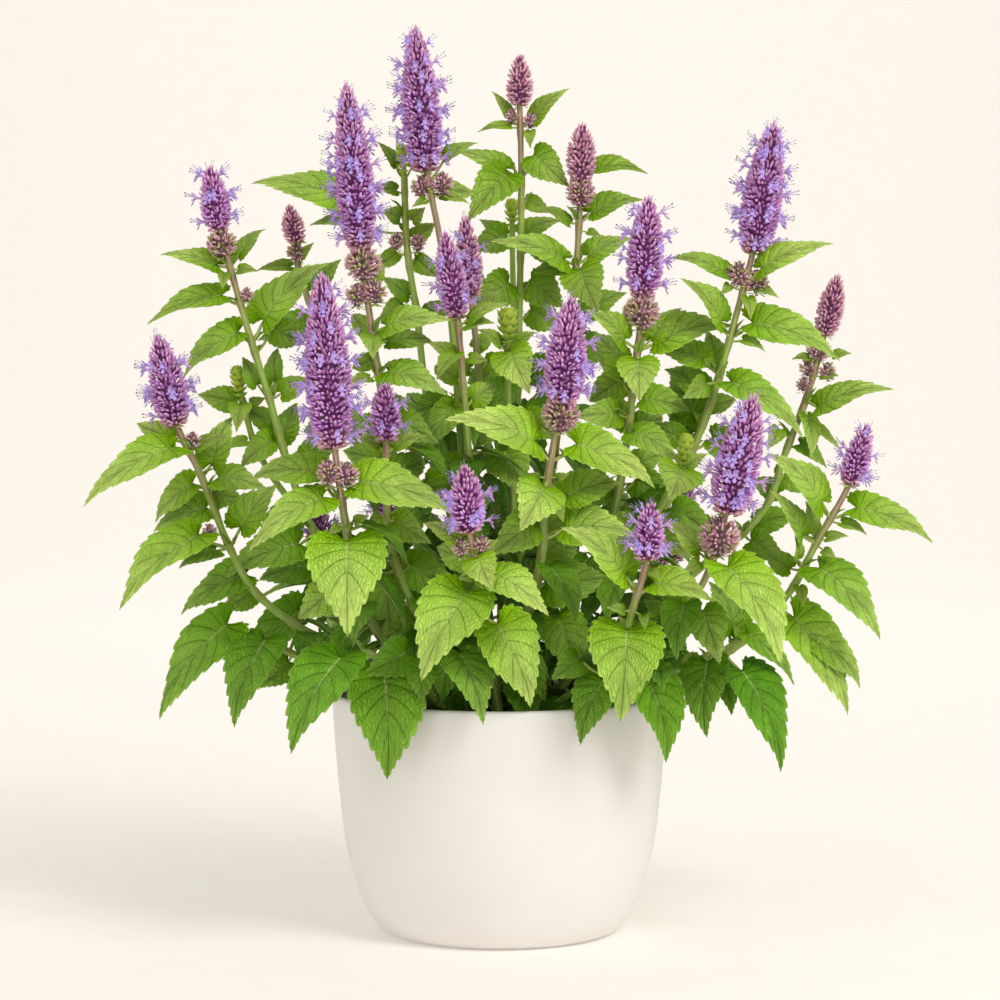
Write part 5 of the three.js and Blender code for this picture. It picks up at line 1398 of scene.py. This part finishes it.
def stamen_template():
    """Two threads with dark anthers, that stand well out of the flower."""
    points, faces, part, count = [], [], [], 0
    for lean, lift, end in ((-1.1, 1.9, 10.2), (1.2, 0.1, 9.8)):
        line = [[lean * 0.2, 0.3, 2.5], [lean * 0.55, 0.2 + lift * 0.4, 6.0], [lean, lift, end]]
        thread, groups, _, _ = tube(line, [0.2, 0.18, 0.15], 3)
        for dark, (shell, corners) in enumerate([(thread, triangles(groups)), knob(line[-1], 0.42)]):
            points.append(shell)
            faces.append(corners + count)
            part.append(np.tile([dark, 0.0, 0.0], (len(shell), 1)))
            count += len(shell)
    return np.concatenate(points), [np.concatenate(faces)], np.concatenate(part)


CALYX = calyx_template()
SHUT = shut_template()
COROLLA = corolla_template()
STAMEN = stamen_template()
BRACT = joined([(petal((0, 0, 0), (0, 0, 1), 0.36, 0.05), (0.0, 1.0))])
SCALE = joined([(petal((0, 0, 0), (0, 0, 1), 0.62, 0.1), (0.2, 1.0))])


def swell(share, blunt):
    """How full a head is at a share of its height."""
    return np.sin(math.pi * (0.06 + 0.94 * share) ** blunt) ** 0.55


def dress_core(skin, ends, radius, blunt, tint):
    """The dark body that shows between a head's calyces: the head's axis, dark with painted shade."""
    base, tip = ends
    shares = np.linspace(0, 0.93, 10)
    widths = np.maximum(radius * swell(shares, blunt) * 0.5, 0.4)
    points, faces, along, about = tube(base + shares[:, None] * (tip - base), widths, 8)
    skin.add(points, faces, np.stack([along, about, along * 0], axis=1), tint, CORE_KIND)


def floret_tints(share, luck, blunt, mauve, age):
    """For each calyx, how mauve and how old it is, and its luck. The lowest of a spike are still green."""
    older = np.clip(age * (1.15 - 0.45 * share), 0, 1)
    if blunt < 1:
        older = older * np.clip(0.2 + share / OLD_SHARE, 0, 1)
    spread = 0.3 if mauve < 1 else 0.05
    hue = np.clip(mauve + chance.normal(0, spread, len(share)), 0, 1)
    return np.stack([hue, older, luck], axis=1)


def open_flowers(share, turn, ring, luck, bloom):
    """Which calyces hold an open flower: above all those at the head's two sides, in rings up the head."""
    flank = np.abs(np.cos(turn)) > FLANK
    in_ring = (ring % BLOOM_STEP == 2) & (share < 0.86) & (flank | (luck < OPEN_LUCK))
    anywhere = (share > 0.03) & (share < 0.9) & (luck < 0.05 * bloom)
    return anywhere | (in_ring & (bloom > OPEN_BLOOM))


def dress_head(skin, base, tip, radius, blunt=0.72, bloom=0.5, mauve=1.0, age=1.0, coarse=1.0):
    """A head of calyces in rings round a dark core, of which some hold open flowers with their stamens."""
    base, tip = np.asarray(base, float), np.asarray(tip, float)
    length = np.linalg.norm(tip - base)
    axis = (tip - base) / length
    sides = cross_axes(axis)
    dress_core(skin, (base, tip), radius, blunt, (mauve, age, 0.5))
    size = min(1.0, 0.6 + radius / 30)
    share, reach, turn, rise, ring = lay_out_florets(length, radius, blunt, size, coarse).T
    reach = reach * (1 - SEAM_DEPTH * np.exp(-(((np.sin(turn) + 1) / SEAM_WIDTH) ** 2)))
    radial = around(turn, sides)
    ahead = unit(np.cos(rise)[:, None] * radial + np.sin(rise)[:, None] * axis)
    long = CALYX_LENGTH * size * (1 + chance.normal(0, 0.1, len(share))) * np.where(share > 0.85, 0.85, 1)
    front = base + axis * (share * length)[:, None] + radial * (reach * 1.04)[:, None]
    up = np.tile(axis, (len(share), 1))
    luck = chance.random(len(share))
    tints = floret_tints(share, luck, blunt, mauve, age)

    def put(template, kind, chosen, way, back, scale):
        """Copies of a shell at the chosen florets, each set back from the floret's front."""
        start = (front - way * np.broadcast_to(back, len(share))[:, None])[chosen]
        scatter(skin, template, start, way[chosen], up[chosen], scale[chosen], tints[chosen], kind)

    shut = chance.random(len(share)) < SHUT_SHARE
    put(SHUT, CALYX_KIND, shut, ahead, long, long)
    put(CALYX, CALYX_KIND, ~shut, ahead, long, long)
    is_open = open_flowers(share, turn, ring, luck, bloom)
    if is_open.any():
        out = unit(radial + axis * (0.12 + 0.6 * share[:, None] ** 2))
        wide = size * (1.05 + 0.2 * luck)
        put(COROLLA, COROLLA_KIND, is_open, out, OPEN_BACK, wide)
        put(STAMEN, STAMEN_KIND, is_open, out, OPEN_BACK, wide)
        # A few threads stand out at the tip, where the flowers are still shut
        late = (share > 0.9) & (luck < 0.25)
        put(STAMEN, STAMEN_KIND, late, ahead, THREAD_BACK, size * 0.8 + luck * 0.2)
    dress_skirt(skin, base, axis, sides, min(radius, SKIRT_REACH))


def dress_bud(skin, base, tip, radius):
    """A cone of small green scale leaves, that close over each other towards the tip."""
    length = np.linalg.norm(tip - base)
    axis = (tip - base) / length
    sides = cross_axes(axis)
    rings = round(length / BUD_ROWS)
    up = np.tile(axis, (BUD_RING, 1))
    for ring in range(rings):
        share = ring / rings
        radial = around(2 * math.pi * (np.arange(BUD_RING) + 0.5 * (ring % 2)) / BUD_RING, sides)
        rise = between((0.5, 1.45), share)
        ahead = unit(radial * math.cos(rise) + axis * math.sin(rise))
        reach = radius * swell(share, 1.0) * 1.1
        origins = base + axis * (share * length * 0.85) + radial * 0.4
        tints = np.zeros((BUD_RING, 3))
        tints[:, 2] = chance.random(BUD_RING)
        sizes = np.full(BUD_RING, max(reach / math.cos(min(rise, 1.1)), 3.5))
        scatter(skin, SCALE, origins, ahead, up, sizes, tints, CALYX_KIND)


def around(turn, sides):
    return np.cos(turn)[:, None] * sides[0] + np.sin(turn)[:, None] * sides[1]


def lay_out_florets(length, radius, blunt, size, coarse):
    """For each calyx of a head: share of the height, reach from the axis, turn, rise and ring."""
    rings = max(3, round(length / (FLORET_ROWS * coarse * (0.6 + 0.4 * size))))
    florets = [(1.0, 0.3, 0.0, 1.5, 0)]
    for ring in range(rings):
        middle = (ring + 0.5) / rings
        reach = radius * swell(middle, blunt)
        count = max(5, round(2 * math.pi * reach * 0.8 / (FLORET_WIDTH * coarse * (0.7 + 0.3 * size))))
        turns = 2 * math.pi * (np.arange(count) + 0.62 * ring + chance.normal(0, 0.18, count)) / count
        rise = between(SPIKE_RISE, middle**2) if blunt < 1 else between(CLUSTER_RISE, middle)
        for turn in turns:
            share = min(1.0, middle + chance.uniform(-0.4, 0.4) / rings)
            florets.append((share, reach, turn, rise + chance.normal(0, 0.18), ring))
    return np.array(florets)


def dress_skirt(skin, base, axis, sides, reach):
    """Small pointed green bracts under a head."""
    count = max(6, round(reach * 1.2))
    turns = 2 * math.pi * (np.arange(count) + chance.random(count) * 0.4) / count
    radial = around(turns, sides)
    ahead = unit(radial + axis * chance.uniform(-0.6, 0.1, count)[:, None])
    tints = np.stack([np.full(count, 0.15), np.full(count, 0.5), chance.random(count)], axis=1)
    sizes = reach * chance.uniform(0.75, 1.1, count)
    up = np.tile(axis, (count, 1))
    scatter(skin, BRACT, base + radial * 0.3, ahead, up, sizes, tints, CALYX_KIND)


# Putting the stems together

def brightness(leaf, share, plant):
    """Young leaves are bright and old ones low down are dark. The lift near a stem's top is partly age and
    partly painted light, and the lift towards the front is painted light.
    """
    tone = plant.get("tone", 1.0)
    top = OLD_BRIGHT + TOP_LIFT * share * tone
    front = -FRONT_PAINTED_LIGHT * tone * (leaf.tip[1] + leaf.base[1]) / 2
    young = YOUNG_LIFT if leaf.width < YOUNG_WIDTH else 0.0
    return float(np.clip(top + front + young + chance.normal(0, BRIGHT_SPREAD), 0.0, 1.0))


def settle(stem):
    """The line and the leaves of a stem as the frame has them."""
    corners = frame_points(f"stem_{stem['name']}", f"spike_{stem['name']}")
    line = settled_line(stem, corners)
    find = seen_leaves if "course" in stem else behind_leaves
    leaves = [(share, leaf, False) for share, leaf in find(stem, line, corners)]
    return {**stem, "line": line, "grown": leaves}


def add_inner_leaves(plants):
    """Leaves inside the plant, dark with painted shade, on the lower parts of its stems and clear of the
    other leaves.
    """
    taken = [leaf.samples() for plant in plants for _, leaf, _ in plant["grown"]]
    stems = np.concatenate([plant["line"][::3] for plant in plants])
    made = 0
    for _ in range(INNER_TRIES):
        plant = plants[chance.integers(len(plants))]
        share = chance.uniform(*INNER_SHARES)
        joint = point_at(plant["line"], share)
        length = chance.uniform(*INNER_LENGTH)
        heading = chance.uniform(0, 2 * math.pi)
        slope = -chance.uniform(*INNER_DROP)
        leaf = outward_leaf(joint, heading, (6 + length * 0.1, 3), length, slope)
        places = leaf.samples()
        if not is_inside(places) or gap_to(np.concatenate(taken), places).min() < INNER_ROOM:
            continue
        if gap_to(stems, places).min() < INNER_STEM_ROOM:
            continue
        plant["grown"].append((share, leaf, True))
        taken.append(places)
        made += 1
        if made == INNER_COUNT:
            break


def is_inside(places):
    """Whether all places lie within the plant's hidden middle, and clear of the pot's rim."""
    spread = 1 + places[:, 1] / EYE_DISTANCE
    across = (places[:, 0] / spread - INNER_MIDDLE[0]) / INNER_HALF[0]
    up = (EYE_HEIGHT + (places[:, 2] - EYE_HEIGHT) / spread - INNER_MIDDLE[1]) / INNER_HALF[1]
    if (across**2 + up**2).max() >= 1:
        return False
    if places[:, 1].min() <= INNER_DEPTHS[0] or places[:, 1].max() >= INNER_DEPTHS[1]:
        return False
    return places[:, 2].min() >= POT_HEIGHT + 4 or np.hypot(places[:, 0], places[:, 1]).max() <= SOIL_REACH


def split_share(plant):
    """The share of its line above which a stem is a brown stalk: past its end if it has none."""
    if plant.get("split"):
        return share_at(plant["line"], plant["split"])
    return 2.0 if "course" in plant else BACK_SPLIT


def dress_leaves(green, mauve, plant, split):
    """All leaves of a stem, with a shoot in the corner of most stalks."""
    for share, leaf, is_inner in plant["grown"]:
        if is_inner:
            # Leaves inside the plant are kept dark: painted shade, a little lighter higher up the stem
            bright, fine = 0.1 + 0.4 * share * chance.random(), INNER_FINE
        else:
            bright, fine = brightness(leaf, share, plant), 1.0
        dress_leaf(mauve if share > split else green, leaf, bright, chance.random(), fine)
        if share < split and leaf.width > SHOOT_LEAST_WIDTH and chance.random() < SHOOT_SHARE:
            dress_shoot(green, leaf, bright)


def dress_shoot(skin, leaf, bright):
    """A small young leaf that stands up in the corner between a leaf's stalk and the stem."""
    way = leaf.base - leaf.joint
    heading = math.atan2(way[1], way[0]) + chance.uniform(-0.6, 0.6)
    length = chance.uniform(*SHOOT_LENGTH)
    young = outward_leaf(leaf.joint, heading, (3, 3), length, chance.uniform(0.2, 1.6), slim=1.15)
    dress_leaf(skin, young, min(1.0, bright + 0.35), chance.random())


def dress_tip(green, mauve, plant):
    """The flower spike or the green bud that a stem ends in."""
    depth, line = plant.get("depth"), plant["line"]
    if plant.get("spike"):
        base_x, base_z, tip_x, tip_z, radius = plant["spike"]
        ends = sight(base_x, base_z, depth), sight(tip_x, tip_z, depth)
        age = 0.35 + 0.65 * min(1, plant["bloom"] * 1.3)
        dress_head(mauve, *ends, radius, bloom=plant["bloom"], age=age)
    if "heading" in plant:
        rise = way_at(line, 1) * plant["spike_length"]
        ends = line[-1] - rise * HEAD_ROOT, line[-1] + rise
        dress_head(mauve, *ends, BACK_SPIKE_RADIUS, bloom=plant["bloom"], coarse=1.25)
    if plant.get("bud"):
        base_x, base_z, tip_x, tip_z, radius = plant["bud"]
        dress_bud(green, sight(base_x, base_z - 3, depth), sight(tip_x, tip_z, depth), radius)


def dress_small_heads(green, mauve, plant):
    line = plant["line"]
    for across, up, radius in plant.get("heads", []) + plant.get("buds", []):
        centre = sight(across, up, point_at(line, share_at(line, up))[1])
        rise = np.array([0, 0, radius])
        skin = mauve if up > plant.get("split", math.inf) else green
        dress_head(skin, centre - rise, centre + rise, radius, **CLUSTER)


def make_stem(plant, materials):
    """The foliage piece and the flower piece of one stem."""
    name, split = plant["name"], split_share(plant)
    green, mauve = Skin(), Skin()
    joints = sorted({round(share, 2) for share, _, _ in plant["grown"]})
    dress_stem(green, plant["line"], joints, split, "tone" in plant)
    dress_leaves(green, mauve, plant, split)
    dress_tip(green, mauve, plant)
    dress_small_heads(green, mauve, plant)
    pieces = [(green, f"foliage_{name}", f"stem_{name}", "foliage")]
    if mauve.count:
        pieces.append((mauve, f"flower_{name}", f"spike_{name}", "flower"))
    for skin, title, node, slot in pieces:
        piece = skin.piece(title, materials)
        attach(piece, "root")
        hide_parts(node)


def seen_leaves(stem, line, corners):
    """The leaves of a stem in the table, as (share of the stem, leaf), where the frame has them."""
    leaves = []
    for row in stem["leaves"]:
        share = share_at(line, row[0])
        joint = point_at(line, share)
        choices = [
            seen_leaf(row, joint, shift, base_share, size)
            for size in LEAF_SIZES for base_share in BASE_SHARES for shift in LEAF_SHIFTS
        ]
        leaves.append((share, settled_leaf(choices, corners)))
    for row in stem["sprigs"]:
        share = share_at(line, row[0])
        leaves.append((share, seen_leaf(row, point_at(line, share))))
    return leaves


def behind_leaves(stem, line, corners):
    """The leaves of a stem behind, as (share of the stem, leaf)."""
    leaves = []
    for pair, share in enumerate(BACK_JOINTS):
        joint = point_at(line, share)
        for opposite in (0, 1):
            heading = stem["heading"] + math.pi / 4 + (pair % 2) * math.pi / 2 + opposite * math.pi
            length = between(BACK_LEAF_LENGTH, share)
            choices = [
                back_leaf(joint, heading, length, shift, size)
                for size in LEAF_SIZES for shift in LEAF_SHIFTS
            ]
            leaves.append((share, settled_leaf(choices, corners)))
    return leaves


# Pot and soil

def turned(skin, profile, sides, wobble=None):
    """A closed body turned about Z from a profile that starts and ends on the axis."""
    profile = np.asarray(profile, float)
    inner = profile[1:-1]
    angles = even_turns(sides)
    x, y = inner[:, :1] * np.cos(angles), inner[:, :1] * np.sin(angles)
    rings = np.stack([x, y, np.repeat(inner[:, 1:], sides, axis=1)], axis=2)
    points = np.concatenate([rings.reshape(-1, 3), [[0, 0, profile[0, 1]], [0, 0, profile[-1, 1]]]])
    if wobble is not None:
        points = wobble(points)
    skin.add(points, ring_faces(len(inner), sides), (0, 0, 0), (0, 0, 0))


def make_pot(material):
    outside = curve_through([(POT_FOOT_RADIUS, 0), *POT_OUTSIDE], np.linspace(0, 1, 60))
    top_radius = POT_OUTSIDE[-1][0]
    rim = POT_WALL / 2
    turns = np.radians(np.linspace(10, 170, 9))
    lip = np.stack([top_radius - rim + rim * np.cos(turns), POT_HEIGHT - rim + rim * np.sin(turns)], axis=1)
    inside = curve_through(POT_INSIDE, np.linspace(0, 1, 16))
    floor = POT_INSIDE[-1][1]
    profile = np.vstack([[(0, 0), (POT_FOOT_RADIUS - 3, 0)], outside, lip, inside, [(0, floor)]])
    skin = Skin()
    turned(skin, profile, POT_SIDES)
    piece = skin.piece("flower_pot", [material])
    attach(piece, "root")
    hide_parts("pot")


def make_soil(material):
    """A crumbly bed, heaped a little, with loose crumbs on it."""
    rings = np.linspace(0, 1, SOIL_RINGS + 1)[1:]
    profile = [(0, SOIL_TOP - SOIL_DEPTH), (SOIL_FOOT_RADIUS, SOIL_TOP - SOIL_DEPTH)]
    profile += [(radius * SOIL_RADIUS, SOIL_TOP) for radius in rings[::-1]]
    profile += [(0, SOIL_TOP)]

    def wobble(points):
        rough = chance.normal(0, SOIL_ROUGHNESS, len(points))
        reach = np.hypot(points[:, 0], points[:, 1])
        heap = SOIL_HEAP * (np.cos(reach / SOIL_RADIUS * math.pi / 2) - 0.5)
        top = (points[:, 2] > SOIL_TOP - 1) & (reach < SOIL_RADIUS - 1)
        points[:, 2] += np.where(top, rough + heap, 0)
        return points

    skin = Skin()
    turned(skin, profile, POT_SIDES, wobble)
    reach = (SOIL_RADIUS - 4) * np.sqrt(chance.random(CRUMBS))
    turn = 2 * math.pi * chance.random(CRUMBS)
    height = SOIL_TOP + chance.uniform(-0.5, 1.2, CRUMBS)
    origins = np.stack([reach * np.cos(turn), reach * np.sin(turn), height], axis=1)
    ahead = unit(chance.normal(0, 1, (CRUMBS, 3)))
    up = unit(chance.normal(0, 1, (CRUMBS, 3)))
    scales = 0.9 + 2.4 * chance.random(CRUMBS) ** 3
    scatter(skin, crumb(), origins, ahead, up, scales, np.zeros((CRUMBS, 3)), 0)
    piece = skin.piece("potting_soil", [material], smooth=False)
    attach(piece, "root")
    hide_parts("soil")


def crumb():
    """A rough lump about 2 across."""
    turns = even_turns(CRUMB_SIDES)
    upper = np.stack([0.8 * np.cos(turns), np.sin(turns), 0.35 + 0.1 * np.cos(3 * turns)], axis=1)
    lower = np.stack([0.9 * np.cos(turns + 0.5), 0.8 * np.sin(turns + 0.5), turns * 0 - 0.35], axis=1)
    points = np.concatenate([upper, lower, [(0, 0, 0.8), (0, 0, -0.7)]])
    top, bottom = 2 * CRUMB_SIDES, 2 * CRUMB_SIDES + 1
    faces = []
    for k in range(CRUMB_SIDES):
        after = (k + 1) % CRUMB_SIDES
        low, low_after = CRUMB_SIDES + k, CRUMB_SIDES + after
        faces += [(k, after, top), (low_after, low, bottom), (low, low_after, after), (low, after, k)]
    return points, [np.array(faces)], np.zeros((len(points), 3))


# Camera, light and floor

def make_camera():
    data = bpy.data.cameras.new("camera")
    data.lens = CAMERA_LENS
    data.sensor_width = 36
    camera = bpy.data.objects.new("camera", data)
    camera.location = (0, -EYE_DISTANCE * MM, EYE_HEIGHT * MM)
    camera.rotation_euler = (math.radians(CAMERA_TILT), 0, 0)
    bpy.context.scene.collection.objects.link(camera)
    bpy.context.scene.camera = camera


def make_light(name, place, aim, size, power, tone):
    data = bpy.data.lights.new(name, "AREA")
    data.shape = "DISK"
    data.size = size
    data.energy = power
    data.color = tone
    lamp = bpy.data.objects.new(name, data)
    lamp.location = place
    lamp.rotation_euler = (Vector(aim) - Vector(place)).to_track_quat("-Z", "Y").to_euler()
    bpy.context.scene.collection.objects.link(lamp)


def make_floor():
    """A pale sheet of paper that sweeps up far behind the plant."""
    turns = np.radians(np.linspace(0, 90, 14))
    sweep = [(-6, 0.0)] + [(3 + 2 * math.sin(a), 2 - 2 * math.cos(a)) for a in turns] + [(5, 9.0)]
    points = np.array([(x, y, z) for y, z in sweep for x in (-9.0, 9.0)]) / MM
    k = 2 * np.arange(len(sweep) - 1)
    skin = Skin()
    skin.add(points, [np.stack([k, k + 1, k + 3, k + 2], axis=1)], (0, 0, 0), (0, 0, 0))
    sheet = skin.piece("studio_paper", [floor_material()])


def make_studio():
    """The paper, a large soft light from the right, a fill, a wash for the paper and an even surround."""
    make_floor()
    make_light("key", (1.5, -1.9, 2.2), (0, 0, 0.3), 1.4, 46, (1.0, 0.985, 0.965))
    make_light("fill", (-1.9, -1.6, 1.2), (0, 0, 0.3), 1.6, 6, (0.97, 0.98, 1.0))
    make_light("wash", (0, 1.7, 2.9), (0, 4.7, 0.5), 1.6, 27, (1.0, 0.985, 0.97))
    world = bpy.data.worlds.new("studio")
    world.use_nodes = True
    background = world.node_tree.nodes["Background"]
    background.inputs["Color"].default_value = colour("#FFFBF6")
    background.inputs["Strength"].default_value = 0.6
    bpy.context.scene.world = world
    bpy.context.scene.view_settings.view_transform = "Standard"


make_camera()
make_studio()
make_pot(pot_material())
make_soil(soil_material())
makers = (leaf_material, stem_material, calyx_material, corolla_material, stamen_material, core_material)
surfaces = [make() for make in makers]
plants = [settle(stem) for stem in STEMS + back_stems()]
add_inner_leaves(plants)
for plant in plants:
    make_stem(plant, surfaces)
